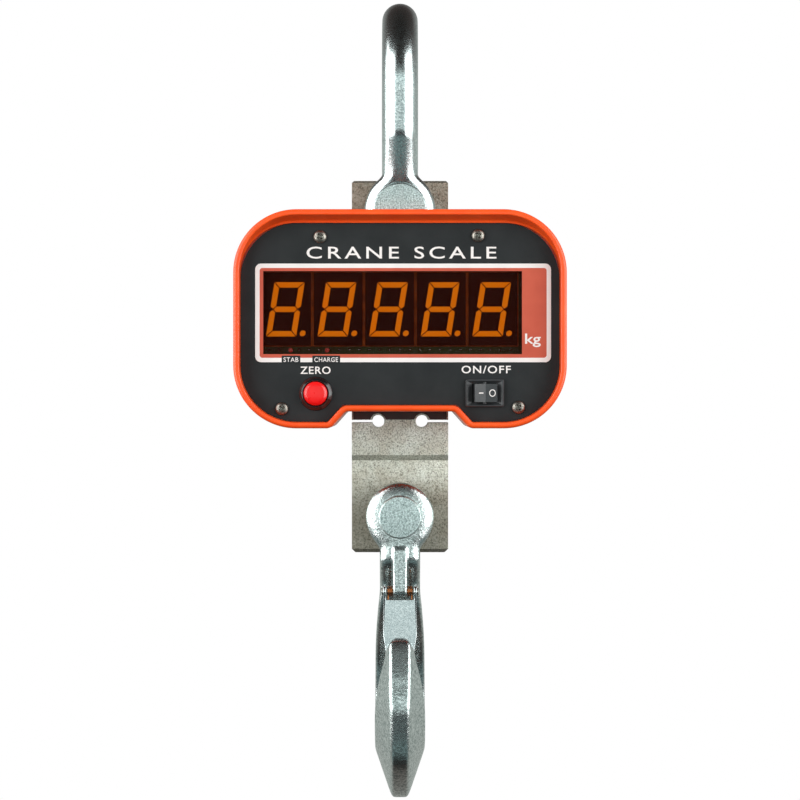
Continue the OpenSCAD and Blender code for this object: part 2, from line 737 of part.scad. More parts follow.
fork_floor = hook_z - 27.5;
arm_half = 11.3;

module hook() color(zinc) {
    rings = refined(HOOK, 4);
    sides = 20;
    difference() {
        union() {
            polyhedron([for (s = rings) each wedge_ring(s, sides)],
                loft_faces(len(rings), sides), convexity = 6);
            fork();
            latch_lug();
        }
        rod_y(hook_pin_d / 2 + fit, [-40, 40], [0, hook_z]);
        rod_x(latch_pin_r, [-6, 6], latch_pivot, $fn = 24);
    }
}

// Two round ears on arms that join above the neck
module fork() difference() {
    union() {
        rod_y(fork_ear_r, [-fork_out, fork_out], [0, hook_z]);
        along_y([-fork_out, fork_out]) polygon([
            for (s = [-1, 1]) [s * 15.5, hook_z - 9],
            for (s = [1, -1]) [s * arm_half, hook_z - 22]
        ]);
        along_x([-arm_half, arm_half]) polygon([
            [-fork_out, hook_z - 10], [-fork_out, hook_z - 24], [-18, -306], [-14, -310],
            [14, -310], [19, -306], [fork_out, hook_z - 24], [fork_out, hook_z - 10]
        ]);
    }
    block([-30, 30], [-fork_in, fork_in], [fork_floor, hook_z + 30]);
}

// A rib down the front of the fork that ends in the round lug of the latch
module latch_lug() along_x([-3.8, 3.8]) union() {
    translate(latch_pivot) circle(3.8, $fn = 32);
    polygon([
        latch_pivot + [-3.2, -0.5], [latch_pivot[0] - 3.2, hook_z - 19],
        [-24.5, hook_z - 15], [-15, hook_z - 15], [-12, -316], latch_pivot + [1, -3]
    ]);
}

module hook_pin() color(steel) difference() {
    union() {
        rod_y(hook_head_d / 2, [-fork_out - head_t, -fork_out], [0, hook_z]);
        rod_y(hook_pin_d / 2, [-fork_out, hook_pin_end], [0, hook_z]);
    }
    rod_x(split_hole_r, [-12, 12], [fork_out + washer_t + split_gap, hook_z], $fn = 24);
}

module hook_washer() color(steel) difference() {
    rod_y(hook_head_d / 2 + 1, [fork_out, fork_out + washer_t], [0, hook_z]);
    rod_y(hook_pin_d / 2 + washer_play, [fork_out - cut, fork_out + washer_t + cut], [0, hook_z]);
}

module hook_split_pin() color(steel)
    split_pin(fork_out + washer_t + split_gap, hook_z, 10.5, split_pin_r);

// A folded channel: a web in front, two flanges behind it and a round ear on each for the pin
module latch() color(steel) translate([0, latch_pivot[0], latch_pivot[1]]) {
    web_front = -3.5;
    tip_half = 7.6;
    flange_end = -latch_len + 12;
    difference() {
        union() {
            along_y([web_front, web_front + latch_sheet]) polygon([
                for (s = [-1, 1]) [s * latch_half, -4.5],
                [latch_half, flange_end], [tip_half, -latch_len + 1],
                [tip_half - 2, -latch_len], [-tip_half + 2, -latch_len],
                [-tip_half, -latch_len + 1], [-latch_half, flange_end]
            ]);
            for (x = [-latch_half, latch_half - latch_sheet])
                along_x([x, x + latch_sheet]) {
                    circle(4, $fn = 48);
                    polygon([
                        [web_front, 0], [3.9, 0], [3.2, -8], [0.6, flange_end], [web_front, flange_end]
                    ]);
                }
        }
        rod_x(latch_pin_r + fit, [-12, 12], [0, 0], $fn = 32);
    }
}

module latch_pin() color(steel) {
    head = 0.7;
    end = latch_half + 0.9;
    rod_x(latch_pin_r, [-end, end], latch_pivot, $fn = 32);
    for (x = [-end, end - head])
        rod_x(2.6, [x, x + head], latch_pivot, $fn = 32);
}

// A double torsion spring: three coils each side of the lug, and a leg from each
module latch_spring() color(copper) for (s = [-1, 1]) {
    for (i = [0 : 2]) translate([s * (4.5 + i * 1.05), latch_pivot[0], latch_pivot[1]])
        rotate([0, 90, 0]) rotate_extrude($fn = 32) translate([2.6, 0]) circle(0.45, $fn = 14);
    translate([s * 6.6, latch_pivot[0] - 1.5, latch_pivot[1] - 18]) cylinder(r = 0.45, h = 16, $fn = 14);
}

shackle_bow();
shackle_pin();
shackle_washer();
shackle_split_pin();
load_cell();
strain_gauges();
gauge_cover_front();
gauge_cover_rear();
gauge_cover_screws();
cell_bracket();
cell_bracket_screws();
cable_gland();
load_cell_cable();
front_housing();
rear_housing();
housing_seal();
housing_screws();
top_gland();
bottom_gland();
panel();
panel_label();
panel_screws();
filter_window();
digit_1();
digit_2();
digit_3();
digit_4();
digit_5();
display_board();
display_standoffs();
indicator_leds();
main_board();
board_standoffs();
board_screws();
display_ribbon();
battery();
battery_clamp();
battery_lead();
charge_socket();
button_body();
button_nut();
button_cap();
button_spring();
switch_body();
switch_rocker();
hook();
hook_pin();
hook_washer();
hook_split_pin();
latch();
latch_pin();
latch_spring();
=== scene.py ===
import json
import math

import bmesh
import bpy
import numpy as np
from bpy.props import FloatProperty, PointerProperty, StringProperty
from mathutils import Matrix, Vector


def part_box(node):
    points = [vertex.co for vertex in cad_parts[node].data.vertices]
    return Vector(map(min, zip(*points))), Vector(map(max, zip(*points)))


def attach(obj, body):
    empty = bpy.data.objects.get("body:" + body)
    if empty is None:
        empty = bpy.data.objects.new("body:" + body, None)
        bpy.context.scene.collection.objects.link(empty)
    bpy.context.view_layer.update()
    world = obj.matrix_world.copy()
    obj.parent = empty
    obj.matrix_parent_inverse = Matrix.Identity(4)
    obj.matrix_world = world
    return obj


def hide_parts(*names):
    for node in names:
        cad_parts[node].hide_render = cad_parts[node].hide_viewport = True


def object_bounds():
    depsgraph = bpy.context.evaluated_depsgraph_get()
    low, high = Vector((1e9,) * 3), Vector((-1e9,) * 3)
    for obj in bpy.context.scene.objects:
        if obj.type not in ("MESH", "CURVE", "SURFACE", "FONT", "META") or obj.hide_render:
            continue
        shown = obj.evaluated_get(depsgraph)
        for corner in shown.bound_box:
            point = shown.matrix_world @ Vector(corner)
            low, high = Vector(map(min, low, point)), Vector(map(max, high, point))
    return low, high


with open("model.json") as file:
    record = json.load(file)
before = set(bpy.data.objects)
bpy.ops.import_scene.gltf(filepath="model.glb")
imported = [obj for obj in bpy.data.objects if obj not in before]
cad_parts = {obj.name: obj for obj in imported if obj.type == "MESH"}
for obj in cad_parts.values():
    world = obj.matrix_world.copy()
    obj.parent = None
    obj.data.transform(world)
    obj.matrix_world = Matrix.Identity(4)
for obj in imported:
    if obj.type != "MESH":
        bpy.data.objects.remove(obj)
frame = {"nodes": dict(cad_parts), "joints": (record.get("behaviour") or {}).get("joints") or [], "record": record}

bl_info = {
    "name": "Crane Scale",
    "version": (1, 0, 0),
    "blender": (4, 5, 0),
    "location": "3D View > Sidebar > Crane Scale",
    "description": "Finishes and fine shapes for a hanging crane scale, built around its packed frame",
    "category": "Object",
}

CAD_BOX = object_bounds()
MM = 0.001
FINISHES = {}
NODE_SLOT = {part["node"]: part["material_slot"] for part in frame["record"]["subparts"]}


def span(node):
    """The lowest and highest corners of a CAD node, in millimetres."""
    low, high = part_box(node)
    return np.array(low) / MM, np.array(high) / MM


def joint_point(name):
    """A hinge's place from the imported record, in millimetres."""
    for joint in frame["joints"]:
        if joint["name"] == name:
            return np.array(joint["pos_m"]) / MM
    raise ValueError(f"no joint is called {name}")


# Places that the fine shapes are worked out from, in millimetres
CASE_LOW, CASE_HIGH = span("front_housing")
CASE_BACK = span("rear_housing")[1][1]
CELL_LOW, CELL_HIGH = span("load_cell")
PANEL_Y = span("panel")[0][1]
LABEL_LOW, LABEL_HIGH = span("panel_label")
WINDOW_LOW, WINDOW_HIGH = span("filter_window")
BEZEL_LOW, BEZEL_HIGH = span("switch_body")
BUTTON_LOW, BUTTON_HIGH = span("button_body")
BOW_HIGH = span("shackle_bow")[1]
SHACKLE_PIN = joint_point("shackle_swing")
HOOK_PIN = joint_point("hook_swing")
LATCH_PIN = joint_point("latch_open")
ROCKER_PIN = joint_point("power_rock")
DIGITS = ["digit_1", "digit_2", "digit_3", "digit_4", "digit_5"]


def look():
    return bpy.context.scene.crane_scale_look


def size(name):
    """A size from the sidebar, free of the property's single precision."""
    return round(getattr(bpy.context.scene.crane_scale_sizes, name), 4)


# ---------------------------------------------------------------- colours and shader nodes

def linear(hex_colour):
    """An sRGB hex colour as linear red, green, blue and alpha."""
    srgb = np.array([int(hex_colour[i:i + 2], 16) for i in (1, 3, 5)]) / 255
    value = np.where(srgb <= 0.04045, srgb / 12.92, ((srgb + 0.055) / 1.055) ** 2.4)
    return (*value.tolist(), 1.0)


def set_inputs(tree, node, inputs):
    """Sets each named input, or links it where it is given a socket or a node's first output."""
    for key, value in inputs.items():
        if isinstance(value, bpy.types.Node):
            value = value.outputs[0]
        if isinstance(value, bpy.types.NodeSocket):
            tree.links.new(value, node.inputs[key])
        else:
            node.inputs[key].default_value = value


def add_node(tree, kind, inputs=None, stops=(), **settings):
    """Adds one shader node with its settings, a ramp's (position, hex colour) stops, and its inputs."""
    new = tree.nodes.new(kind)
    for key, value in settings.items():
        setattr(new, key, value)
    for index, (position, colour) in enumerate(stops):
        elements = new.color_ramp.elements
        element = elements[index] if index < len(elements) else elements.new(position)
        element.position = position
        element.color = linear(colour)
    set_inputs(tree, new, inputs or {})
    return new


def new_material(name):
    """A node material with its shader and output joined, and the object's own coordinates."""
    material = bpy.data.materials.new(name)
    material.use_nodes = True
    tree = material.node_tree
    tree.nodes.clear()
    shader = add_node(tree, "ShaderNodeBsdfPrincipled")
    add_node(tree, "ShaderNodeOutputMaterial", {"Surface": shader})
    place = add_node(tree, "ShaderNodeTexCoord").outputs["Object"]
    return material, tree, shader, place


def per_metre(size_mm):
    """The scale of a pattern whose blots or waves are about size_mm across."""
    return 1 / (size_mm * MM)


# The values that most of a noise lies between, which a roughness range is stretched over
NOISE_RANGE = {"From Min": 0.3, "From Max": 0.7}


# ---------------------------------------------------------------- finishes

def zinc_plate(name, grain_mm, grain_depth, light, dark, low, high, wave_depth):
    """Zinc plate over forged steel: a bright mirror-like skin over the forging's soft waves and its
    fine scale pits, with a faint blue passivated tint."""
    material, tree, shader, place = new_material(name)
    waves = add_node(tree, "ShaderNodeTexNoise", {
        "Vector": place, "Scale": per_metre(9), "Detail": 2.0, "Roughness": 0.5})
    grain = add_node(tree, "ShaderNodeTexNoise", {
        "Vector": place, "Scale": per_metre(grain_mm), "Detail": 4.0, "Roughness": 0.65})
    tint = add_node(tree, "ShaderNodeValToRGB", {"Fac": grain}, [(0.32, dark), (0.62, light)])
    rough = add_node(tree, "ShaderNodeMapRange", {
        "Value": grain, **NOISE_RANGE, "To Min": high, "To Max": low})
    hammered = add_node(tree, "ShaderNodeBump", {
        "Height": waves, "Distance": wave_depth * MM, "Strength": 1.0})
    pitted = add_node(tree, "ShaderNodeBump", {
        "Height": grain, "Distance": grain_depth * MM, "Strength": 1.0, "Normal": hammered})
    set_inputs(tree, shader, {"Base Color": tint, "Roughness": rough, "Normal": pitted, "Metallic": 1.0})
    return material


def nickel_plate():
    """Matt nickel over a blasted steel block: light warm grey with a sparkle of lighter and darker
    grains, and painted shade that darkens it by height towards its bottom end and its top end."""
    material, tree, shader, place = new_material("blasted_nickel_plate")
    grain = add_node(tree, "ShaderNodeTexNoise", {
        "Vector": place, "Scale": per_metre(0.8), "Detail": 3.0, "Roughness": 0.75})
    cloud = add_node(tree, "ShaderNodeTexNoise", {
        "Vector": place, "Scale": per_metre(14), "Detail": 3.0, "Roughness": 0.5})
    fine = add_node(tree, "ShaderNodeValToRGB", {"Fac": grain}, [
        (0.34, "#8E8C84"), (0.5, "#EEEEE8"), (0.62, "#FFFFFF")])
    broad = add_node(tree, "ShaderNodeValToRGB", {"Fac": cloud}, [(0.35, "#E6E2D8"), (0.65, "#FDFFFA")])
    parts = add_node(tree, "ShaderNodeSeparateXYZ", {"Vector": place})
    along = add_node(tree, "ShaderNodeMapRange", {
        "Value": parts.outputs["Z"], "From Min": CELL_LOW[2] * MM, "From Max": CELL_HIGH[2] * MM})
    # painted shade: the block's colour darkens by height alone towards its bottom end and towards its top end
    painted_end_shade = add_node(tree, "ShaderNodeValToRGB", {"Fac": along}, [
        (0.0, "#A29E96"), (0.14, "#ACA8A0"), (0.22, "#F0F2EE"),
        (0.45, "#FFFFFF"), (0.85, "#FFFFFF"), (0.92, "#B8B0A8")])
    grains = add_node(tree, "ShaderNodeMix", data_type="RGBA", blend_type="MULTIPLY", inputs={
        "Factor": 1.0, 6: fine, 7: broad})
    colour = add_node(tree, "ShaderNodeMix", data_type="RGBA", blend_type="MULTIPLY", inputs={
        "Factor": 1.0, 6: grains.outputs[2], 7: painted_end_shade})
    rough = add_node(tree, "ShaderNodeMapRange", {
        "Value": grain, **NOISE_RANGE, "To Min": 0.58, "To Max": 0.4})
    grit = add_node(tree, "ShaderNodeBump", {"Height": grain, "Distance": 0.3 * MM, "Strength": 1.0})
    set_inputs(tree, shader, {
        "Base Color": colour.outputs[2], "Roughness": rough, "Normal": grit, "Metallic": 0.72})
    return material


def plain_metal(name, colour, rough, grain_mm=0.8, depth=0.01):
    """Turned or drawn plated metal: one colour, with a fine grain that breaks up its reflections."""
    material, tree, shader, place = new_material(name)
    grain = add_node(tree, "ShaderNodeTexNoise", {
        "Vector": place, "Scale": per_metre(grain_mm), "Detail": 3.0, "Roughness": 0.5})
    spread = add_node(tree, "ShaderNodeMapRange", {
        "Value": grain, **NOISE_RANGE, "To Min": rough * 0.8, "To Max": rough * 1.25})
    grit = add_node(tree, "ShaderNodeBump", {"Height": grain, "Distance": depth * MM, "Strength": 1.0})
    set_inputs(tree, shader, {
        "Base Color": linear(colour), "Roughness": spread, "Normal": grit, "Metallic": 1.0})
    return material


def coated(name, light, dark, rough, grain_mm, depth, coat=0.0, cloud_mm=14, shine=0.5, painted_glow=0.0):
    """A moulded, painted or printed surface: a faint drift of colour over a fine skin texture, and a
    faint painted glow of its own in the unlit digits' diffusers."""
    material, tree, shader, place = new_material(name)
    cloud = add_node(tree, "ShaderNodeTexNoise", {
        "Vector": place, "Scale": per_metre(cloud_mm), "Detail": 2.0, "Roughness": 0.5})
    grain = add_node(tree, "ShaderNodeTexNoise", {
        "Vector": place, "Scale": per_metre(grain_mm), "Detail": 3.0, "Roughness": 0.5})
    colour = add_node(tree, "ShaderNodeValToRGB", {"Fac": cloud}, [(0.3, dark), (0.7, light)])
    spread = add_node(tree, "ShaderNodeMapRange", {
        "Value": grain, **NOISE_RANGE, "To Min": rough * 0.88, "To Max": rough * 1.12})
    skin = add_node(tree, "ShaderNodeBump", {"Height": grain, "Distance": depth * MM, "Strength": 1.0})
    set_inputs(tree, shader, {
        "Base Color": colour, "Roughness": spread, "Normal": skin, "IOR": 1.5, "Coat Weight": coat,
        "Coat Roughness": 0.1, "Specular IOR Level": shine})
    # painted glow: an orange emission on a part that is no lit lamp
    if painted_glow:
        set_inputs(tree, shader, {"Emission Color": linear("#FF7800"), "Emission Strength": painted_glow})
    return material


def filter_acrylic():
    """Deep red acrylic: clear enough to read the digits through, with a polished face."""
    material, tree, shader, place = new_material("red_filter_acrylic")
    cloud = add_node(tree, "ShaderNodeTexNoise", {
        "Vector": place, "Scale": per_metre(30), "Detail": 1.0, "Roughness": 0.5})
    colour = add_node(tree, "ShaderNodeValToRGB", {"Fac": cloud}, [(0.3, "#240300"), (0.7, "#2C0500")])
    set_inputs(tree, shader, {
        "Base Color": colour, "Roughness": 0.06, "IOR": 1.49, "Alpha": 0.34, "Specular IOR Level": 0.05})
    return material


def circuit_laminate():
    """Green solder mask over glass laminate, with a faint weave and copper showing through."""
    material, tree, shader, place = new_material("green_solder_mask")
    weave = add_node(tree, "ShaderNodeTexWave", {
        "Vector": place, "Scale": per_metre(3), "Distortion": 3.0, "Detail": 2.0})
    colour = add_node(tree, "ShaderNodeValToRGB", {"Fac": weave}, [(0.2, "#1F5A2C"), (0.8, "#3F7A38")])
    set_inputs(tree, shader, {"Base Color": colour, "Roughness": 0.35, "IOR": 1.5})
    return material


def metal_finishes():
    """The plated, turned and drawn metals, by material slot."""
    zinc = look().zinc_hex
    return {
        # bright zinc on a fine forging: long clean reflections with a slight ripple
        "zinc_forging": zinc_plate("bright_zinc_forging", 1.0, 0.06, zinc, "#93A3A4", 0.12, 0.34, 0.12),
        # the same plate over scale pits: its reflections break up into specks
        "zinc_hook": zinc_plate("pitted_zinc_forging", 1.3, 0.15, zinc, "#84928F", 0.14, 0.36, 0.2),
        # plated pin heads: pale and grainy, and too rough to mirror anything
        "zinc_pin": zinc_plate("grainy_zinc_pin", 0.8, 0.2, "#F2FFFD", "#5A7877", 0.25, 0.5, 0.05),
        # turned nickel fasteners: warm grey with small sharp highlights
        "bright_fastener": plain_metal("bright_nickel_fastener", "#C9C6BE", 0.22),
        # weathered zinc screws: dull grey with darker patches
        "dull_fastener": zinc_plate("dull_zinc_screw", 0.5, 0.03, "#A39F96", "#3E3A36", 0.3, 0.5, 0.02),
        "nickel_block": nickel_plate(),
        # foil strain gauges: a flat yellow metal sheen
        "gauge_foil": plain_metal("constantan_foil", "#C9973F", 0.35),
        # plated strip: smooth, pale and blue-white
        "sheet_steel": zinc_plate("zinc_plated_sheet", 0.7, 0.012, "#EDF2F2", "#BAC6C8", 0.16, 0.3, 0.03),
        # turned brass: warm yellow with soft highlights
        "brass": plain_metal("turned_brass", "#C9A45A", 0.28),
        # copper-coated spring wire: dark red-brown with a bright line along each turn
        "copper_spring": plain_metal("copper_coated_wire", "#7E4E2C", 0.3),
    }


def moulded_finishes():
    """The painted, printed, moulded and potted surfaces, by material slot."""
    own = look()
    return {
        # a cover over the gauges, half matt: its dark red-brown is painted shade, standing in for the shade that
        # the case's overhang casts on the block
        "gauge_cover": coated("gauge_cover_painted_shade", "#451914", "#2C0D0A", 0.4, 1.2, 0.02),
        # cable sheath: dark grey and slightly waxy
        "cable_jacket": coated("pvc_cable_jacket", "#3A3D3F", "#2B2D2F", 0.5, 1.5, 0.02),
        # powder coat over the case: saturated orange, soft wide highlights and a faint drift of tone
        "orange_case": coated("orange_powder_coat", own.case_colour_hex, own.case_shade_hex, 0.36, 1.6, 0.012,
                              coat=0.15),
        # moulded rubber: near black with no highlight
        "black_rubber": coated("moulded_black_rubber", "#2A2B2C", "#1C1D1E", 0.7, 1.0, 0.03),
        # matt overlay film: dark grey that lifts a little towards the light
        "charcoal_panel": coated("charcoal_polyester_overlay", own.panel_colour_hex, "#202324", 0.5, 0.9,
                                 0.02, shine=0.25),
        # screen ink: even off-white
        "printed_label": coated("white_screen_ink", own.ink_hex, "#E8E4E0", 0.4, 1.0, 0.004),
        # screen ink: even brick red
        "brick_ink": coated("brick_red_screen_ink", own.label_hex, "#BC503A", 0.42, 1.0, 0.004),
        "red_filter": filter_acrylic(),
        # digit housings behind the filter: almost black with a red cast
        "digit_body": coated("black_digit_face", "#200803", "#140401", 0.6, 2.0, 0.02, shine=0.08),
        # resin at the modules' edges: a thin uneven amber line
        "digit_edge": coated("amber_potting_edge", "#B85410", "#6A2C06", 0.5, 2.0, 0.02, cloud_mm=5,
                             shine=0.15),
        # the digits' diffusers: flat orange with a faint painted glow, though the display is unlit
        "segment": coated("orange_diffuser_epoxy", own.segment_hex, "#FF8A04", 0.5, 1.5, 0.02, shine=0.1,
                          painted_glow=0.68),
        # indicator lenses: clear bright red beads
        "indicator_red": coated("clear_red_lens", "#E8402C", "#C82A1A", 0.15, 2.0, 0.005, 0.6),
        "circuit_board": circuit_laminate(),
        # shrink film round the cells: glossy blue with soft creases
        "battery_wrap": coated("blue_heat_shrink", "#3478BC", "#2864A4", 0.3, 3.0, 0.04, 0.2),
        # moulded nylon: dark grey with an eggshell sheen
        "black_plastic": coated("black_moulded_nylon", "#3C3F41", "#2F3234", 0.42, 0.8, 0.02),
        # moulded button: saturated red with one soft highlight
        "button_red": coated("red_moulded_abs", own.button_hex, "#E00C0C", 0.3, 2.5, 0.008, 0.2),
        # polished bezel: black with sharp highlights
        "button_bezel": coated("gloss_black_abs", "#1B1C1E", "#131415", 0.2, 2.0, 0.006, 0.5),
    }


# ---------------------------------------------------------------- meshes from arrays

def strip_faces(rows, columns, close_rows, close_columns):
    """Quads of a grid of rows by columns, joined round in either direction."""
    r = np.arange(rows if close_rows else rows - 1)
    c = np.arange(columns if close_columns else columns - 1)
    i, j = np.meshgrid(r, c, indexing="ij")
    i2, j2 = (i + 1) % rows, (j + 1) % columns
    quads = np.stack([i * columns + j, i * columns + j2, i2 * columns + j2, i2 * columns + j], -1)
    return quads.reshape(-1, 4)


def closed_mesh(name, points, faces):
    """A mesh from points in millimetres, with its doubles merged and its normals outwards."""
    mesh = bpy.data.meshes.new(name)
    mesh.from_pydata((np.asarray(points).reshape(-1, 3) * MM).tolist(), [], [list(face) for face in faces])
    tidy(mesh)
    return mesh


def capped_grids(grids):
    """Points and faces of several grids, each joined round its columns and closed at both ends."""
    points, faces, start = [], [], 0
    for grid in grids:
        rows, columns = grid.shape[:2]
        end = start + rows * columns
        points.append(grid.reshape(-1, 3))
        faces += (strip_faces(rows, columns, False, True) + start).tolist()
        faces += [range(start, start + columns), range(end - 1, end - columns - 1, -1)]
        start = end
    return np.concatenate(points), faces


def tidy(mesh, distance=2e-6):
    """Merges doubles, drops empty faces and turns the normals outwards."""
    work = bmesh.new()
    work.from_mesh(mesh)
    bmesh.ops.remove_doubles(work, verts=work.verts, dist=distance)
    bmesh.ops.dissolve_degenerate(work, edges=work.edges, dist=distance)
    bmesh.ops.recalc_face_normals(work, faces=work.faces)
    work.to_mesh(mesh)
    work.free()


def finish_piece(name, mesh, body, finish, smooth_deg=38):
    """Shades a mesh, gives it its finish and makes it ride on its body."""
    mesh.name = name
    mesh.materials.clear()
    mesh.materials.append(FINISHES[finish])
    mesh.shade_smooth()
    mesh.set_sharp_from_angle(angle=math.radians(smooth_deg))
    piece = bpy.data.objects.new(name, mesh)
    bpy.context.scene.collection.objects.link(piece)
    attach(piece, body)
    return piece


def grid_piece(name, grid, body, finish, close=(False, True), smooth_deg=38, capped=False):
    """A piece from a grid of points, shaped (rows, columns, 3), with its two ends capped or left to
    close at a pole or round the other way."""
    if capped:
        points, faces = capped_grids([grid])
    else:
        points, faces = grid, strip_faces(*grid.shape[:2], *close)
    return finish_piece(name, closed_mesh(name, points, faces), body, finish, smooth_deg)


def lathe_grid(profile, at, sides=96):
    """A profile of (radius, y) turned round a Y axis at (x, z): x = r cos a, z = r sin a."""
    profile = np.asarray(profile, float)
    angle = np.linspace(0, 2 * math.pi, sides, endpoint=False)
    r, y = profile[:, :1], profile[:, 1:]
    return np.stack([at[0] + r * np.cos(angle), np.broadcast_to(y, (len(profile), sides)),
                     at[1] + r * np.sin(angle)], -1)


def rounded_profile(points, radii, steps=5):
    """A line of (radius, y) points with each corner swung round by its own radius: an arc between the
    points where the two sides touch a circle of that radius."""
    out = [np.array([points[0]], float)]
    for i in range(1, len(points) - 1):
        out.append(corner_arc(points[i - 1], points[i], points[i + 1], radii[i], steps)[0])
    out.append(np.array([points[-1]], float))
    return np.concatenate(out)


def corner_arc(before, corner, after, radius, steps):
    """Points and outward normals of the arc that rounds one corner, along the direction of travel."""
    before, corner, after = (np.array(p, float) for p in (before, corner, after))
    a = (corner - before) / np.linalg.norm(corner - before)
    b = (after - corner) / np.linalg.norm(after - corner)
    turn = math.atan2(a[0] * b[1] - a[1] * b[0], a @ b)
    side = math.copysign(1, turn)
    start = corner - a * radius * math.tan(abs(turn) / 2)
    centre = start + side * radius * np.array([-a[1], a[0]])
    first = math.atan2(*(start - centre)[::-1])
    angle = first + np.linspace(0, turn, steps)
    ray = np.stack([np.cos(angle), np.sin(angle)], -1)
    return centre + radius * ray, side * ray


def rect_loop(x, z, radius, steps, inset=0.0):
    """A rectangle in X and Z, travelled anticlockwise, set in by an inset, with rounded corners."""
    (left, right), (bottom, top) = (x[0] + inset, x[1] - inset), (z[0] + inset, z[1] - inset)
    corners = [(left, bottom), (right, bottom), (right, top), (left, top)]
    arcs = [corner_arc(corners[i - 1], corners[i], corners[(i + 1) % 4], radius, steps)[0] for i in range(4)]
    return np.concatenate(arcs)


def on_y(loop, y):
    """A loop in X and Z set at a depth y."""
    return np.stack([loop[:, 0], np.full(len(loop), float(y)), loop[:, 1]], -1)


def ring_plate(name, outer, inner, y, body, finish):
    """A flat frame between two outlines that have the same number of points."""
    grid = np.stack([on_y(outer, y[1]), on_y(outer, y[0]), on_y(inner, y[0]), on_y(inner, y[1])])
    return grid_piece(name, grid, body, finish, close=(True, True))


def softened(node, name, width_mm, finish, body="scale", segments=2, angle=40):
    """A copy of a CAD node with its flat faces joined and its sharp edges broken by a small round."""
    source = frame["nodes"][node]
    mesh = source.data.copy()
    work = bmesh.new()
    work.from_mesh(mesh)
    bmesh.ops.remove_doubles(work, verts=work.verts, dist=2e-6)
    bmesh.ops.dissolve_limit(work, angle_limit=math.radians(1), verts=work.verts, edges=work.edges)
    work.to_mesh(mesh)
    work.free()
    piece = finish_piece(name, mesh, body, finish, angle)
    bevel = piece.modifiers.new("broken_edges", "BEVEL")
    bevel.width = width_mm * MM
    bevel.segments = segments
    bevel.limit_method = "ANGLE"
    bevel.angle_limit = math.radians(angle)
    bevel.harden_normals = True
    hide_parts(node)
    return piece


def baked(piece):
    """Applies a piece's modifiers to its mesh."""
    deps = bpy.context.evaluated_depsgraph_get()
    mesh = bpy.data.meshes.new_from_object(piece.evaluated_get(deps))
    piece.modifiers.clear()
    piece.data = mesh
    return mesh


def drilled(piece, grids):
    """Cuts turned shapes out of a piece, and drops the cutters."""
    for grid in grids:
        cutter = bpy.data.objects.new("cutter", closed_mesh("cutter", *capped_grids([grid])))
        bpy.context.scene.collection.objects.link(cutter)
        cut = piece.modifiers.new("drill", "BOOLEAN")
        cut.object = cutter
        cut.operation = "DIFFERENCE"
        cut.solver = "EXACT"
        baked(piece)
        bpy.data.objects.remove(cutter)
    piece.data.set_sharp_from_angle(angle=math.radians(38))


def even_slope(low, high, value, ease=2.0):
    """0 below low, 1 above high and a straight line between, its two corners eased over a few millimetres."""
    steps = [np.clip((value + d - low) / (high - low), 0, 1) for d in (-ease, 0, ease)]
    return sum(steps) / len(steps)


def smooth_step(low, high, value):
    """0 below low, 1 above high and 3 t^2 - 2 t^3 between."""
    t = np.clip((value - low) / (high - low), 0, 1)
    return t * t * (3 - 2 * t)


def super_ring(angle, power):
    """Cosine and sine squared up by a power: 2 is a circle, and more is nearer a box."""
    c, s = np.cos(angle), np.sin(angle)
    return np.sign(c) * np.abs(c) ** (2 / power), np.sign(s) * np.abs(s) ** (2 / power)


def spline(points, steps):
    """Catmull-Rom curve through rows of numbers, with each end repeated."""
    p = np.concatenate([points[:1], points, points[-1:]])
    t = np.linspace(0, 1, steps, endpoint=False)[None, :, None]
    a, b, c, d = (p[i:len(p) - 3 + i, None, :] for i in range(4))
    bend = (2 * a - 5 * b + 4 * c - d) * t ** 2 + (3 * b - a - 3 * c + d) * t ** 3
    curve = 0.5 * (2 * b + (c - a) * t + bend)
    return np.concatenate([curve.reshape(-1, points.shape[1]), points[-1:]])


# ---------------------------------------------------------------- shackle

PIN_HEAD = 5.5          # thickness of both pins' heads
EAR_RADIUS = 20.0
EAR_GAP = 15.5          # from the load line to an ear's inner face
LEG_LEAN = math.radians(5)


def ear_and_leg(bar, ear_half, ear_y, bow_r, crown_z):
    """Rows from an ear's rim up its leg to the crown's end, for the leg at +Y.

    Each row is a section across the bar: its middle (y, z), the tilt of its thickness from Y, its
    half-width along X, its half-thickness and its squareness. Through the ear the half-width is a
    circle's, sqrt(r^2 - d^2), blended with the leg's by a fourth-power maximum."""
    ear_r, lean, pin_z = EAR_RADIUS, LEG_LEAN, SHACKLE_PIN[2]
    leg_top_z = crown_z - bow_r * math.sin(lean)
    leg_top_y = bow_r * math.cos(lean)
    swing = np.linspace(-math.pi / 2, 0, 22)
    low = pin_z + ear_r * np.sin(swing)
    z = np.concatenate([low, np.linspace(pin_z, leg_top_z, 64)[1:]])
    line_y = leg_top_y - (leg_top_z - z) * math.tan(lean)
    up = even_slope(pin_z + 3, pin_z + 42, z)
    y = ear_y + (line_y - ear_y) * up
    below = np.clip((pin_z - z) / ear_r, 0, 1)
    round_half = np.sqrt(np.clip(ear_r ** 2 - (z - pin_z) ** 2, 0, None))
    leg_half = bar * smooth_step(pin_z, pin_z + 13, z)
    half = (round_half ** 4 + leg_half ** 4) ** 0.25
    ear_thick = ear_half * np.clip(1 - below ** 3.4, 0, 1) ** (1 / 3.4)
    thick = ear_thick + (bar - ear_thick) * even_slope(pin_z + 3, pin_z + 42, z)
    square = 2.6 - 0.6 * smooth_step(pin_z + 6, pin_z + 26, z)
    tilt = -lean * up
    crown = np.linspace(-lean, math.pi / 2, 34)[1:]
    round_bar = np.full(len(crown), bar)
    arc = np.stack([bow_r * np.cos(crown), crown_z + bow_r * np.sin(crown), crown,
                    round_bar, round_bar, np.full(len(crown), 2.0)], -1)
    return np.concatenate([np.stack([y, z, tilt, half, thick, square], -1), arc])


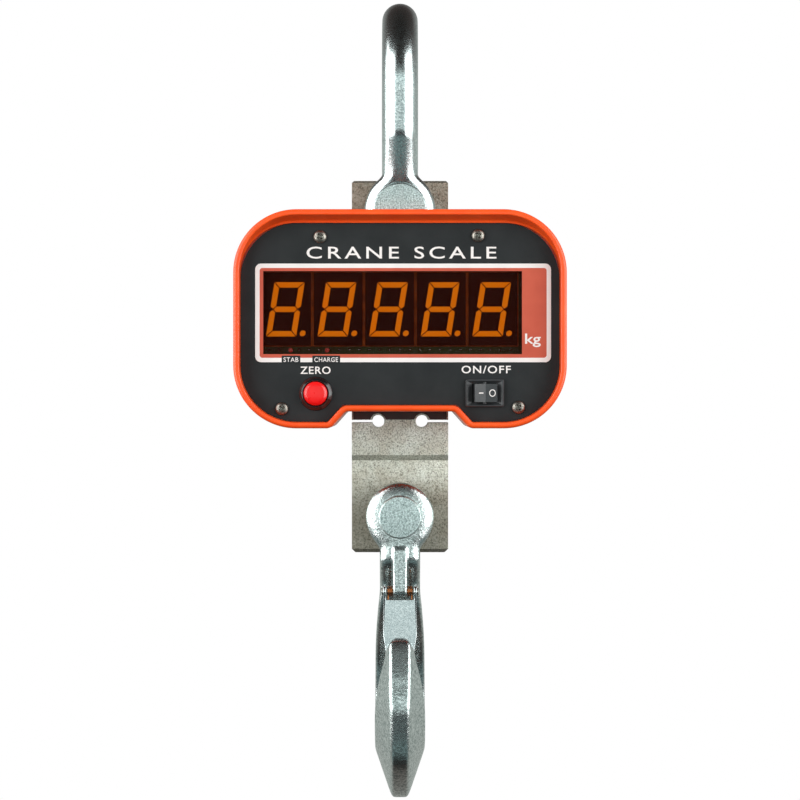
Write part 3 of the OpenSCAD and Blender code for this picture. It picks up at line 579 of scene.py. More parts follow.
def shackle_grid():
    """The whole bow: the +Y leg's sections up to the crown, then the same sections mirrored down."""
    bar_half = BOW_HIGH[2] / 2
    throat_r = BOW_HIGH[1] - BOW_HIGH[2]
    ear_out = -span("shackle_pin")[0][1] - PIN_HEAD
    ear_half = (ear_out - EAR_GAP) / 2
    rows = ear_and_leg(bar_half, ear_half, ear_out - ear_half, throat_r + bar_half, -throat_r)
    angle = np.linspace(0, 2 * math.pi, 48, endpoint=False)
    c, s = super_ring(angle, rows[:, 5:6])
    x = rows[:, 3:4] * c
    off = rows[:, 4:5] * s
    y = rows[:, :1] + off * np.cos(rows[:, 2:3])
    z = rows[:, 1:2] + off * np.sin(rows[:, 2:3])
    near = np.stack([x, y, z], -1)
    far = (near * [1, -1, 1])[-2::-1]
    return np.concatenate([near, far])


def build_shackle():
    piece = grid_piece("shackle_forging", shackle_grid(), "shackle", "zinc_forging",
                       smooth_deg=60)
    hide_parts("shackle_bow")
    headed_pin("shackle_pin", SHACKLE_PIN, 9.0, "shackle")
    washer("shackle_washer", SHACKLE_PIN, 9.3, "shackle")


def headed_pin(node, at, shank_r, body):
    """A round pin: a faintly domed head with a turned chamfer, and a shank with a chamfered end."""
    low, high = span(node)
    head_r = (high[0] - low[0]) / 2
    back = low[1] + PIN_HEAD
    profile = rounded_profile(
        [(0, low[1] + 0.02), (head_r - 0.7, low[1] + 0.12), (head_r, low[1] + 0.9), (head_r, back),
         (shank_r, back), (shank_r, high[1] - 1.5), (shank_r - 1.5, high[1]), (0, high[1])],
        [0, 0.5, 0.5, 0.3, 0.4, 0.4, 0.4, 0])
    piece = grid_piece(f"{node}_turned", lathe_grid(profile, (at[0], at[2])), body, "zinc_pin",
                       smooth_deg=50)
    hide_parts(node)


def washer(node, at, inner, body):
    """A flat ring with its edges broken."""
    low, high = span(node)
    outer, edge = (high[0] - low[0]) / 2, 0.35
    profile = [(inner, low[1] + edge), (inner + edge, low[1]), (outer - edge, low[1]), (outer, low[1] + edge),
               (outer, high[1] - edge), (outer - edge, high[1]), (inner + edge, high[1]),
               (inner, high[1] - edge)]
    grid = lathe_grid(profile, (at[0], at[2]))
    piece = grid_piece(f"{node}_ring", grid, body, "zinc_pin", close=(True, True), smooth_deg=30)
    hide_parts(node)


# ---------------------------------------------------------------- hook

# Sections down the hook's back, round its bowl and up to its tip, which is drawn finer than the CAD
# one: inner y, inner z, outer y, outer z, half-width inside, half-width outside
BOWL_R = 21.5
BOWL_Z = HOOK_PIN[2] - 107
BOWL_SIDE = BOWL_R * math.cos(math.pi / 4)
CORNER_POWER = 0.22
HOOK_SECTIONS = np.array([
    [-14, -297.2, 15, -297.2, 10.9, 10.9],
    [-12.5, -311, 16, -311, 11.4, 11.2],
    [-8, -322, 23, -320, 12.8, 10.4],
    [1, -334, 31, -331, 14.1, 8.8],
    [11, -346, 39, -343.5, 14.9, 7],
    [18, -359, 45, -357, 15.2, 5.8],
    [BOWL_R, BOWL_Z, 48.3, BOWL_Z, 15.4, 5.3],
    [BOWL_SIDE, BOWL_Z - BOWL_SIDE, 35.7, -411.7, 15.4, 4.8],
    [0, BOWL_Z - BOWL_R, -1, -428.5, 15.2, 4.5],
    [-BOWL_SIDE, BOWL_Z - BOWL_SIDE, -33, -409, 15.3, 4.7],
    [-BOWL_R - 0.3, BOWL_Z, -42.1, -380, 15.1, 5.1],
    [-25.6, -362, -40.7, -360, 13, 5.6],
    [-27.9, -350, -37.6, -346, 9.6, 5.7],
    [-28.6, -341, -35.2, -339, 7.4, 5.5],
    [-31, -336.9, -33.2, -336.5, 3, 2.6],
])


def hook_grid(columns=64):
    """The hook's bar as wedge sections: u runs from the inner edge to the narrow outer edge, and the
    half-width runs straight from one to the other, with the corners rounded by a power of 0.22."""
    rows = spline(HOOK_SECTIONS, 14)
    angle = np.linspace(0, 2 * math.pi, columns, endpoint=False)
    c, s = super_ring(angle, 2 / CORNER_POWER)
    u = 0.5 + 0.5 * c
    half = rows[:, 4:5] + (rows[:, 5:6] - rows[:, 4:5]) * u
    x = half * s
    y = rows[:, :1] + (rows[:, 2:3] - rows[:, :1]) * u
    z = rows[:, 1:2] + (rows[:, 3:4] - rows[:, 1:2]) * u
    return np.stack([x, y, z], -1)


def fork_arm_grid(side, columns=40):
    """One arm of the fork: a round ear whose half-width is a circle's, blended by a fifth-power maximum
    into a flat arm that leans in to the neck."""
    ear_r, ear_half, ear_y = 19.2, 5.5, 20.5
    pin_z = HOOK_PIN[2]
    swing = np.linspace(math.pi / 2, 0, 18)
    z = np.concatenate([pin_z + ear_r * np.sin(swing), np.linspace(pin_z, pin_z - 41, 46)[1:]])
    drop = pin_z - z
    round_half = np.sqrt(np.clip(ear_r ** 2 - drop ** 2, 0, None))
    arm_half = 11.3 * smooth_step(-1, 12, drop)
    half = (round_half ** 5 + arm_half ** 5) ** 0.2
    above = np.clip(-drop / ear_r, 0, 1)
    lean = smooth_step(22, 41, drop)
    thick = ear_half * np.clip(1 - above ** 3.2, 0, 1) ** (1 / 3.2) + 1.6 * lean
    y = side * (ear_y - 11 * lean)
    square = 2.3 + 1.6 * smooth_step(14, 30, drop)[:, None]
    angle = np.linspace(0, 2 * math.pi, columns, endpoint=False)
    c, s = super_ring(angle, square)
    return np.stack([half[:, None] * c, y[:, None] + thick[:, None] * s,
                     np.broadcast_to(z[:, None], (len(z), columns))], -1)


def lug_grid():
    """The rib down the front of the fork and the round lug it ends in: an outline in Y and Z, drawn
    out along X with its edges broken."""
    y, z = LATCH_PIN[1], LATCH_PIN[2]
    pin_z, lug_r = HOOK_PIN[2], 3.6
    turn = np.linspace(math.pi, 1.9 * math.pi, 18)
    lug = np.stack([y + lug_r * np.cos(turn), z + lug_r * np.sin(turn)], -1)
    rib = np.array([[-8, z - 5], [-8, pin_z - 14], [y - 0.5, pin_z - 14.4], [y - 2.9, pin_z - 18],
                    [y - 3.3, pin_z - 24]])
    loop = np.concatenate([lug, rib])
    middle = loop.mean(0)
    x = np.array([-3.8, -3.4, 3.4, 3.8])
    pull = np.array([0.96, 1, 1, 0.96])[:, None, None]
    flat = middle + (loop - middle) * pull
    return np.concatenate([np.broadcast_to(x[:, None, None], (4, len(loop), 1)), flat], -1)


def build_hook():
    """The forged hook: its bar, fork arms and lug become one skin, as a die leaves them."""
    parts = [hook_grid(), fork_arm_grid(1), fork_arm_grid(-1), lug_grid()]
    mesh = closed_mesh("hook_forging", *capped_grids(parts))
    piece = finish_piece("hook_forging", mesh, "hook", "zinc_hook", 180)
    skin = piece.modifiers.new("one_skin", "REMESH")
    skin.mode = "VOXEL"
    skin.voxel_size = 0.6 * MM
    relax = piece.modifiers.new("die_radii", "SMOOTH")
    relax.factor = 0.5
    relax.iterations = 2
    mesh = baked(piece)
    mesh.materials.clear()
    mesh.materials.append(FINISHES["zinc_hook"])
    mesh.shade_smooth()
    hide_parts("hook")
    headed_pin("hook_pin", HOOK_PIN, 8.0, "hook")
    washer("hook_washer", HOOK_PIN, 8.3, "hook")


def build_latch():
    softened("latch", "latch_channel", size("latch_edge_mm"), "sheet_steel", "latch", 3)
    softened("latch_pin", "latch_rivet", 0.2, "bright_fastener", "hook")


# ---------------------------------------------------------------- load cell

def build_load_cell():
    softened("load_cell", "load_cell_block", size("block_edge_mm"), "nickel_block", segments=3)
    # the gauge covers' dark red-brown is painted shade under the case's overhang
    softened("gauge_cover_front", "front_gauge_cover", 0.2, "gauge_cover")
    softened("gauge_cover_rear", "rear_gauge_cover", 0.2, "gauge_cover")


# ---------------------------------------------------------------- case

WELL_HALF, WELL_WALL, WELL_DEEP = 29.0, 2.5, 21.7
WELL_FRONT, WELL_REAR = -39.5, 41.5
BLOCK_HALF = 27.8       # half-width of the holes that the block passes through
FLOOR_HOLE, WAY_OUT = 14.8, 19.2    # half-depths of the holes in the well's floor and in the notch
WALL = 3.2
CORNER = 34.5           # the case's corner radius
NOTCH = CASE_LOW[2] + 9.2
SLIVER = 0.004


def stops_on(x0, x1, stops):
    """x values from x0 to x1 with a close pair of columns either side of each stop."""
    pairs = np.array([v for s in stops for v in (s - SLIVER, s + SLIVER)])
    inside = pairs[(pairs > min(x0, x1)) & (pairs < max(x0, x1))]
    order = np.sort(inside)
    return order if x1 > x0 else order[::-1]


def case_loop():
    """The case's outline with outward normals, travelled anticlockwise. The straight runs across the
    well and across the notch also carry columns where the shell's section changes."""
    left, right = CASE_LOW[0], CASE_HIGH[0]
    bottom, top = CASE_LOW[2], CASE_HIGH[2]
    corners = [(left, bottom), (-38, bottom), (-29.7, NOTCH), (29.7, NOTCH), (38, bottom), (right, bottom),
               (right, top), (left, top)]
    radii = [CORNER, 5, 3, 3, 5, CORNER, CORNER, CORNER]
    steps = [26, 7, 5, 5, 7, 26, 26, 26]
    n = len(corners)
    points, normals = [], []
    for i in range(n):
        p, q = corner_arc(corners[i - 1], corners[i], corners[(i + 1) % n], radii[i], steps[i])
        points.append(p)
        normals.append(q)
        if i == 2:
            x = stops_on(p[-1, 0], -p[-1, 0], [-BLOCK_HALF, BLOCK_HALF])
            points.append(np.stack([x, np.full(len(x), NOTCH)], -1))
            normals.append(np.tile([0.0, -1.0], (len(x), 1)))
        if i == 6:
            edge = WELL_HALF + WELL_WALL
            x = stops_on(p[-1, 0], -p[-1, 0], [-edge, -WELL_HALF, -BLOCK_HALF, BLOCK_HALF, WELL_HALF, edge])
            points.append(np.stack([x, np.full(len(x), top)], -1))
            normals.append(np.tile([0.0, 1.0], (len(x), 1)))
    return np.concatenate(points), np.concatenate(normals)


def shell_grid(loop, normal, section):
    """A closed shell: column k carries the closed section section[k] of (inset, y) rows, set inwards
    from the outline along its normal."""
    inset, y = section[..., 0], section[..., 1]
    x = loop[:, :1] - normal[:, :1] * inset
    z = loop[:, 1:] - normal[:, 1:] * inset
    return np.stack([x, y, z], -1)


def column_kinds(loop):
    """Which columns cross the well, stand in its side walls, cross the block's hole, or are plain."""
    x = np.abs(loop[:, 0])
    on_top = loop[:, 1] > CASE_HIGH[2] - 0.01
    in_notch = np.abs(loop[:, 1] - NOTCH) < 0.1
    return {
        "well": on_top & (x < WELL_HALF),
        "well_side": on_top & (x >= WELL_HALF) & (x < WELL_HALF + WELL_WALL),
        "floor_hole": on_top & (x < BLOCK_HALF),
        "way_out": in_notch & (x < BLOCK_HALF),
    }


def front_section(loop, normal):
    """The front shell's section at every column: outer wall, rounded lip, recess wall, panel ledge,
    inner wall and back. At the top the recess wall slopes like a visor to a narrow ledge."""
    lip = CASE_LOW[1]
    n = len(loop)
    lift = np.clip(normal[:, 1], 0, 1) ** 2 * (loop[:, 1] > (CASE_LOW[2] + CASE_HIGH[2]) / 2)
    quarter = np.linspace(0, math.pi / 2, 6)
    outer = np.stack([1.7 - 1.7 * np.cos(quarter), lip + 1.7 - 1.7 * np.sin(quarter)], -1)
    inner = np.stack([2.5 + 0.7 * np.sin(quarter), lip + 0.7 - 0.7 * np.cos(quarter)], -1)
    side = np.array([[3.25, lip + 2.5], [3.35, lip + 5], [3.4, lip + 6.4], [3.45, lip + 6.7],
                     [3.5, lip + 7.4], [3.5, lip + 10], [8, lip + 10], [8, lip + 12.5], [WALL, lip + 12.5]])
    top = np.array([[4.0, lip + 2.5], [5.1, lip + 5], [5.7, lip + 6.5], [6.1, lip + 6.8], [7.1, lip + 7.0],
                    [7.1, lip + 10], [12, lip + 10], [12, lip + 12.5], [WALL, lip + 12.5]])
    kinds = column_kinds(loop)
    head = np.concatenate([[[0, 0.0]], [[0, -20.0]], [[0, WELL_FRONT]], outer, inner])
    head = np.tile(head, (n, 1, 1))
    recess = side + (top - side) * lift[:, None, None]
    back = np.array([[WALL, -42.0], [WALL, -32], [WALL, -22], [WALL, -14], [WALL, -7], [WALL, 0]])
    back = np.tile(back, (n, 1, 1))
    deep, floor = WELL_DEEP + WELL_WALL, WELL_DEEP
    well = kinds["well"]
    stop = np.where(kinds["floor_hole"], -FLOOR_HOLE, 0.0)
    head[well, 0] = [0, WELL_FRONT + 0.02]
    head[well, 1] = [0, WELL_FRONT + 0.01]
    back[well, 0] = [WALL, WELL_FRONT - WELL_WALL]
    back[well, 1] = [deep, WELL_FRONT - WELL_WALL]
    back[well, 2] = np.stack([np.full(well.sum(), deep), stop[well]], -1)
    back[well, 3] = np.stack([np.full(well.sum(), floor), stop[well]], -1)
    back[well, 4] = [floor, WELL_FRONT + 0.02]
    back[well, 5] = [floor * 0.5, WELL_FRONT + 0.02]
    side_wall = kinds["well_side"]
    back[side_wall, 0] = [WALL, WELL_FRONT - WELL_WALL]
    back[side_wall, 1] = [deep, WELL_FRONT - WELL_WALL]
    back[side_wall, 2:] = [[deep, -20], [deep, 0], [deep * 0.6, 0], [deep * 0.3, 0]]
    out = kinds["way_out"]
    head[out, 0] = [0, -WAY_OUT]
    head[out, 1] = [0, -24.0]
    back[out] = [[WALL, -42], [WALL, -36], [WALL, -30], [WALL, -26], [WALL, -22], [WALL, -WAY_OUT]]
    return np.concatenate([head, recess, back], 1)


def build_front_housing():
    loop, normal = case_loop()
    grid = shell_grid(loop, normal, front_section(loop, normal))
    piece = grid_piece("front_case_shell", grid, "scale", "orange_case", close=(True, True),
                       smooth_deg=36)
    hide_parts("front_housing")


def rear_section(loop):
    """The rear shell's section at every column, from the split round its rounded back edge to the
    back's cap, which is left open here, and the same line inside."""
    back = CASE_BACK
    n = len(loop)
    quarter = np.linspace(0, math.pi / 2, 8)
    outer = np.stack([4 - 4 * np.cos(quarter), back - 4 + 4 * np.sin(quarter)], -1)
    head = np.tile(np.concatenate([[[0, 0.0]], [[0, 12.0]], [[0, WELL_REAR]], outer]), (n, 1, 1))
    inner_line = np.array([
        [4.7, back - WALL], [WALL + 1, back - WALL], [WALL, back - WALL - 1], [WALL, 44], [WALL, 34],
        [WALL, 24], [WALL, 14], [WALL, 7], [WALL, 0]])
    tail = np.tile(inner_line, (n, 1, 1))
    kinds = column_kinds(loop)
    deep, floor = WELL_DEEP + WELL_WALL, WELL_DEEP
    well = kinds["well"]
    stop = np.where(kinds["floor_hole"], FLOOR_HOLE, 0.0)
    head[well, 0] = [0, WELL_REAR - 0.02]
    head[well, 1] = [0, WELL_REAR - 0.01]
    tail[well, 3] = [WALL, WELL_REAR + WELL_WALL]
    tail[well, 4] = [deep, WELL_REAR + WELL_WALL]
    tail[well, 5] = np.stack([np.full(well.sum(), deep), stop[well]], -1)
    tail[well, 6] = np.stack([np.full(well.sum(), floor), stop[well]], -1)
    tail[well, 7] = [floor, WELL_REAR - 0.02]
    tail[well, 8] = [floor * 0.5, WELL_REAR - 0.02]
    side_wall = kinds["well_side"]
    tail[side_wall, 3] = [WALL, WELL_REAR + WELL_WALL]
    tail[side_wall, 4] = [deep, WELL_REAR + WELL_WALL]
    tail[side_wall, 5:] = [[deep, 20], [deep, 0], [deep * 0.6, 0], [deep * 0.3, 0]]
    out = kinds["way_out"]
    head[out, 0] = [0, WAY_OUT]
    head[out, 1] = [0, 24.0]
    tail[out, 3:] = [[WALL, 42], [WALL, 36], [WALL, 30], [WALL, 26], [WALL, 22], [WALL, WAY_OUT]]
    return head, tail


def rear_screw_places():
    """The four holes near the case's corners and the two beside the well."""
    far_x = span("housing_screws")[1][0] - 3.6
    inset = CORNER - 18.4
    corners = [(side * far_x, z) for side in (-1, 1) for z in (CASE_HIGH[2] - inset, CASE_LOW[2] + inset)]
    return corners + [(side * 44.0, CASE_HIGH[2] - 8) for side in (-1, 1)]


def build_rear_housing():
    """The rear shell: a strip from its inner cap round the split to its outer cap, and the two caps,
    with its screw holes and the charge socket's recess and bore drilled."""
    loop, normal = case_loop()
    head, tail = rear_section(loop)
    section = np.concatenate([tail, head], 1)
    grid = shell_grid(loop, normal, section)
    n, rows = grid.shape[:2]
    inner_cap = range(0, n * rows, rows)
    outer_cap = range(n * rows - 1, 0, -rows)
    mesh = closed_mesh("rear_case_shell", grid, [*strip_faces(n, rows, True, False), inner_cap, outer_cap])
    piece = finish_piece("rear_case_shell", mesh, "scale", "orange_case", 36)
    screw_r, screw_deep = 3.9, 5
    cut = [lathe_grid([(screw_r, CASE_BACK + 1), (screw_r, CASE_BACK - screw_deep)], at, 40)
           for at in rear_screw_places()]
    low, high = span("charge_socket")
    at, edge = ((low[1] + high[1]) / 2, (low[2] + high[2]) / 2), CASE_HIGH[0]
    for radius, deep in ((7.6, 1.2), (5.6, 8)):
        cut.append(lathe_grid([(radius, edge - deep), (radius, edge + 1)], at, 48)[..., [1, 0, 2]])
    drilled(piece, cut)
    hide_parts("rear_housing")


# ---------------------------------------------------------------- panel and display

INK = 0.2               # how proud of the panel the label's ink stands
TAG_INK = 0.24          # the same for the two tags, which lie over the label's line


def panel_tag(name, left, right):
    """A dark tag printed over the label's lower line: its outline drawn out along Y."""
    loop = rect_loop((left, right), (LABEL_LOW[2] - 0.6, LABEL_LOW[2] + 3.6), 0.3, 3)
    grid = np.stack([on_y(loop, PANEL_Y + 0.02), on_y(loop, PANEL_Y - TAG_INK)])
    grid_piece(name, grid, "scale", "charcoal_panel", capped=True)


def build_panel():
    softened("panel", "panel_overlay", 0.25, "charcoal_panel")
    x, z = (LABEL_LOW[0], LABEL_HIGH[0]), (LABEL_LOW[2], LABEL_HIGH[2])
    outer = rect_loop(x, z, 3.2, 10)
    inner = rect_loop(x, z, 1.6, 10, size("label_line_mm"))
    window = rect_loop((WINDOW_LOW[0], WINDOW_HIGH[0]), (WINDOW_LOW[2], WINDOW_HIGH[2]), 0.3, 10, -0.1)
    ink = (PANEL_Y - INK, PANEL_Y)
    line = ring_plate("white_label_line", outer, inner, ink, "scale", "printed_label")
    ring_plate("brick_label_field", inner, window, ink, "scale", "brick_ink")
    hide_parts("panel_label")
    panel_tag("stable_tag", -64.8, -54.6)
    panel_tag("charge_tag", -48.0, -32.8)
    softened("filter_window", "filter_plate", 0.2, "red_filter")


SEGMENT_GAP = 0.33
POINT_R, POINT_X, POINT_Z = 1.6, 9.5, -13.2
SLANT = math.tan(math.radians(9))


def segment_outlines():
    """The seven bars of a digit, unslanted, each with mitred ends a small gap apart."""
    w, h = size("segment_width_mm") / 2, size("segment_height_mm") / 2
    t, s = size("segment_bar_mm"), SEGMENT_GAP
    top = [(-w + s, h), (-w + t + s, h - t), (w - t - s, h - t), (w - s, h)]
    middle = [(-w + t / 2 + s, 0), (-w + t + s, -t / 2), (w - t - s, -t / 2), (w - t / 2 - s, 0),
              (w - t - s, t / 2), (-w + t + s, t / 2)]
    upper = [(w, h - s), (w - t, h - t - s), (w - t, t / 2 + s), (w - t / 2, s), (w, t / 2)]
    flip = np.array([[1, 1], [-1, 1], [1, -1], [-1, -1]])
    bars = [np.array(top), np.array(top) * [1, -1], np.array(middle)]
    return bars + [np.array(upper) * f for f in flip]


def digit_segments(name, centre, front):
    """All the bars of one digit and its point as one piece: outlines slanted by x + z tan 9, each
    drawn out a little along Y."""
    angle = np.linspace(0, 2 * math.pi, 28, endpoint=False)
    point = np.stack([POINT_X - POINT_Z * SLANT + POINT_R * np.cos(angle),
                      POINT_Z + POINT_R * np.sin(angle)], -1)
    bars = []
    for outline in segment_outlines() + [point]:
        loop = centre + outline + np.stack([outline[:, 1] * SLANT, np.zeros(len(outline))], -1)
        middle = loop.mean(0)
        raised = middle + (loop - middle) * 0.96
        bars.append(np.stack([on_y(loop, front), on_y(raised, front - 0.3)]))
    finish_piece(name, closed_mesh(name, *capped_grids(bars)), "scale", "segment", 30)


def build_digits():
    """Five modules: a dark body, an amber rim where the potting shows, and the raised bars."""
    for number, node in enumerate(DIGITS, 1):
        low, high = span(node)
        softened(node, f"{node}_module", 0.25, "digit_body")
        centre = np.array([(low[0] + high[0]) / 2 - 0.65, (low[2] + high[2]) / 2 - 0.1])
        digit_segments(f"segments_{number}", centre, low[1] + 0.02)
        outer = rect_loop((low[0], high[0]), (low[2], high[2]), 0.3, 4, 0.02)
        inner = rect_loop((low[0] + 0.6, high[0] - 0.6), (low[2] + 0.35, high[2] - 0.35), 0.3, 4)
        depth = (low[1] - 0.06, low[1] + 0.1)
        ring_plate(f"potting_edge_{number}", outer, inner, depth, "scale", "digit_edge")
    build_solder()


def build_solder():
    """Solder domes along the display board below the modules: half balls, five to a module."""
    board = span("display_board")[0][1]
    low, high = span("digit_1")[0], span("digit_5")[1]
    ring = np.linspace(0, math.pi / 2, 5)
    profile = np.stack([0.75 * np.cos(ring), board - 0.6 * np.sin(ring)], -1)
    spots = np.linspace(low[0] + 4, high[0] - 4, 5 * len(DIGITS))
    domes = [lathe_grid(profile, (x, low[2] - 1.6), 12) for x in spots]
    mesh = closed_mesh("solder_domes", *capped_grids(domes))
    finish_piece("solder_domes", mesh, "scale", "bright_fastener", 60)


PRINTS = {
    # name: words, middle (x, z), height, width, how proud its ground is, stroke weight, letter spacing
    "title_print": ("CRANE SCALE", (0.8, -123.2), 6.6, 104, 0, 0.006, 1.3),
    "unit_print": ("kg", (72.8, -171.2), 7.4, 8.6, INK, 0.012, 1.0),
    "zero_print": ("ZERO", (-46.3, -187.6), 4.1, 16.6, 0, 0.012, 1.1),
    "power_print": ("ON/OFF", (47.2, -187.2), 4.2, 27, 0, 0.012, 1.15),
    "stable_print": ("STAB", (-59.7, LABEL_LOW[2] + 1.4), 2.5, 8.2, TAG_INK, 0.006, 1.1),
    "charge_print": ("CHARGE", (-40.4, LABEL_LOW[2] + 1.4), 2.5, 13.0, TAG_INK, 0.006, 1.1),
}


def printed_text(name, words, centre, height, width, ground, weight, spacing):
    """Words as a thin raised print: the letters' outlines, sized to a height and a width in
    millimetres and stood up facing the reader."""
    curve = bpy.data.curves.new(name, "FONT")
    curve.body = words
    curve.align_x = "CENTER"
    curve.offset = weight
    curve.space_character = spacing
    curve.extrude = 0.5
    curve.resolution_u = 4
    source = bpy.data.objects.new(name, curve)
    bpy.context.scene.collection.objects.link(source)
    bpy.context.view_layer.update()
    deps = bpy.context.evaluated_depsgraph_get()
    mesh = bpy.data.meshes.new_from_object(source.evaluated_get(deps))
    bpy.data.objects.remove(source)
    co = np.empty(len(mesh.vertices) * 3)
    mesh.vertices.foreach_get("co", co)
    co = co.reshape(-1, 3)
    low, high = co.min(0), co.max(0)
    tall = height / (high[1] - low[1])
    wide = width / (high[0] - low[0])
    front = PANEL_Y - ground - 0.06
    placed = np.stack([
        centre[0] + (co[:, 0] - (low[0] + high[0]) / 2) * wide,
        front + 0.08 * (0.5 - co[:, 2]),
        centre[1] + (co[:, 1] - (low[1] + high[1]) / 2) * tall], -1) * MM
    mesh.vertices.foreach_set("co", placed.ravel())
    mesh.update()
    tidy(mesh, 1e-7)
    finish_piece(name, mesh, "scale", "printed_label", 30)


def build_print():
    """Plain words and signs in the places where the panel is printed."""
    for name, settings in PRINTS.items():
        printed_text(name, *settings)


PAN_HEAD_R = 3.65
PANEL_SCREW_AT = [(-43.8, -114.5), (42.8, -113.9), (-64.7, -208.7), (64.9, -207.9)]


def driver_cross(at, face, wide=2.1, deep=1.5):
    """Two crossed wedges, narrower as they go down, to cut a driver's cross."""
    grids = []
    for turn in (0.6, 0.6 + math.pi / 2):
        along = np.array([math.cos(turn), math.sin(turn)])
        across = np.array([-math.sin(turn), math.cos(turn)])
        corners = np.array([[-1, -1], [1, -1], [1, 1], [-1, 1]], float)
        rings = []
        for y, a, b in ((face - 0.5, wide, 0.62), (face + deep, wide * 0.5, 0.3)):
            flat = at + corners[:, :1] * a * along + corners[:, 1:] * b * across
            rings.append(on_y(flat, y))
        grids.append(np.stack(rings))
    return grids


def build_panel_screws():
    """Four pan-head screws with a driver's cross, each a domed lathe shape."""
    face = span("panel_screws")[0][1]
    rim = PANEL_Y - 0.25
    shank_r = 1.5
    arc = np.linspace(0, math.pi / 2, 9)
    dome = np.stack([PAN_HEAD_R * np.sin(arc), rim - (rim - face) * np.cos(arc) ** 0.8], -1)
    shank = [(PAN_HEAD_R, PANEL_Y), (shank_r, PANEL_Y), (shank_r, PANEL_Y + 10), (0, PANEL_Y + 11)]
    for number, at in enumerate(PANEL_SCREW_AT, 1):
        grid = lathe_grid(np.concatenate([dome, shank]), at, 48)
        piece = grid_piece(f"panel_screw_{number}", grid, "scale", "dull_fastener",
                           smooth_deg=40)
        drilled(piece, driver_cross(np.array(at), face))
        if number == 1:
            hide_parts("panel_screws")


# ---------------------------------------------------------------- controls

def build_button():
    """The zero button: a turned gloss bezel and a flat-topped round cap."""
    at = ((BUTTON_LOW[0] + BUTTON_HIGH[0]) / 2, (BUTTON_LOW[2] + BUTTON_HIGH[2]) / 2)
    front = BUTTON_LOW[1]
    bezel = rounded_profile(
        [(6.62, front + 14), (6.62, front + 1.0), (7.2, front), (9.15, PANEL_Y - 0.7), (9.4, PANEL_Y - 0.2),
         (9.4, PANEL_Y), (8, PANEL_Y), (8, BUTTON_HIGH[1]), (0, BUTTON_HIGH[1])],
        [0, 0.3, 0.35, 0.3, 0.1, 0.05, 0.2, 0.4, 0])
    inside = [(0, front + 14)]
    piece = grid_piece("button_bezel", lathe_grid(np.concatenate([inside, bezel]), at), "scale",
                       "button_bezel", smooth_deg=40)
    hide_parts("button_body")
    low, high = span("button_cap")
    r = (high[0] - low[0]) / 2
    profile = rounded_profile(
        [(0, low[1]), (r * 0.75, low[1] + 0.25), (r, low[1] + 1.3), (r, high[1]), (0, high[1])],
        [0, 2.5, 1.0, 0.3, 0])
    cap = grid_piece("button_cap_round", lathe_grid(profile, at), "zero_button", "button_red",
                     smooth_deg=50)
    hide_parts("button_cap")


ROCKER_LEAN = math.radians(8)       # how far the rocker's faces lean at rest
ROCKER_FACE = 3.3                   # from the pivot to the middle of the rocker's face
ROCKER_VALLEY = 1.1 / 6.2           # how steeply its two faces rise from the middle


def build_switch():
    """The rocker switch: a bezel whose inner sides slope down to the rocker, and the curved rocker."""
    x, z = (BEZEL_LOW[0], BEZEL_HIGH[0]), (BEZEL_LOW[2], BEZEL_HIGH[2])
    mid_x, mid_z = (x[0] + x[1]) / 2, (z[0] + z[1]) / 2
    front = BEZEL_LOW[1]

    def middle_loop(half_x, half_z, radius):
        """A rectangle about the switch's middle."""
        return rect_loop((mid_x - half_x, mid_x + half_x), (mid_z - half_z, mid_z + half_z), radius, 5)

    outer = rect_loop(x, z, 0.9, 5)
    crest_out = rect_loop(x, z, 0.8, 5, 0.4)
    crest_in = rect_loop((x[0] + 1.1, x[1] - 1.1), (z[0] + 0.9, z[1] - 0.9), 0.6, 5)
    bore = middle_loop(6.95, 5.2, 0.3)
    lip = middle_loop(7.65, 5.7, 0.3)
    body = middle_loop(9.5, 6.5, 0.4)
    rings = [on_y(bore, front + 14), on_y(bore, front + 1.7), on_y(lip, front + 1.5),
             on_y(crest_in, front + 0.1), on_y(crest_out, front), on_y(outer, front + 0.5),
             on_y(outer, PANEL_Y), on_y(body, PANEL_Y), on_y(body, BEZEL_HIGH[1])]
    bezel = grid_piece("switch_bezel", np.stack(rings), "scale", "black_plastic",
                       smooth_deg=30, capped=True)
    trunnion_r, reach = 1.05, 6.1
    socket = lathe_grid([(trunnion_r, ROCKER_PIN[2] - reach), (trunnion_r, ROCKER_PIN[2] + reach)],
                        ROCKER_PIN[:2], 32)[..., [0, 2, 1]]
    drilled(bezel, [socket])
    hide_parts("switch_body")
    softened("switch_rocker", "rocker_key", size("rocker_edge_mm"), "black_plastic", "power_rocker", 3, 12)
    rocker_marks()


def on_rocker(u, w, lift):
    """Rocker coordinates (u across, w up) to the frame: y = -face - |u| valley - lift, turned by the lean."""
    y = -ROCKER_FACE - np.abs(u) * ROCKER_VALLEY - lift
    c, s = math.cos(ROCKER_LEAN), math.sin(ROCKER_LEAN)
    return np.stack([ROCKER_PIN[0] + u * c - y * s, ROCKER_PIN[1] + u * s + y * c, ROCKER_PIN[2] + w], -1)


def rocker_marks():
    """A dash and a ring printed on the rocker's two faces."""
    ink = 0.05
    angle = np.linspace(0, 2 * math.pi, 36, endpoint=False)
    ring_u, ring_w = np.cos(angle), np.sin(angle)
    rows = [on_rocker(3.6 + ring_u * r, ring_w * r * 1.15, lift)
            for r, lift in ((1.75, -ink), (1.75, ink), (1.3, ink), (1.3, -ink))]
    grid_piece("off_mark", np.stack(rows), "power_rocker", "printed_label",
               close=(True, True))
    u = np.array([-3.9, -1.4, -1.4, -3.9])
    w = np.array([-0.3, -0.3, 0.3, 0.3])
    dash = np.stack([on_rocker(u, w, -ink), on_rocker(u, w, ink)])
    grid_piece("on_mark", dash, "power_rocker", "printed_label", capped=True)


# ---------------------------------------------------------------- everything else from CAD

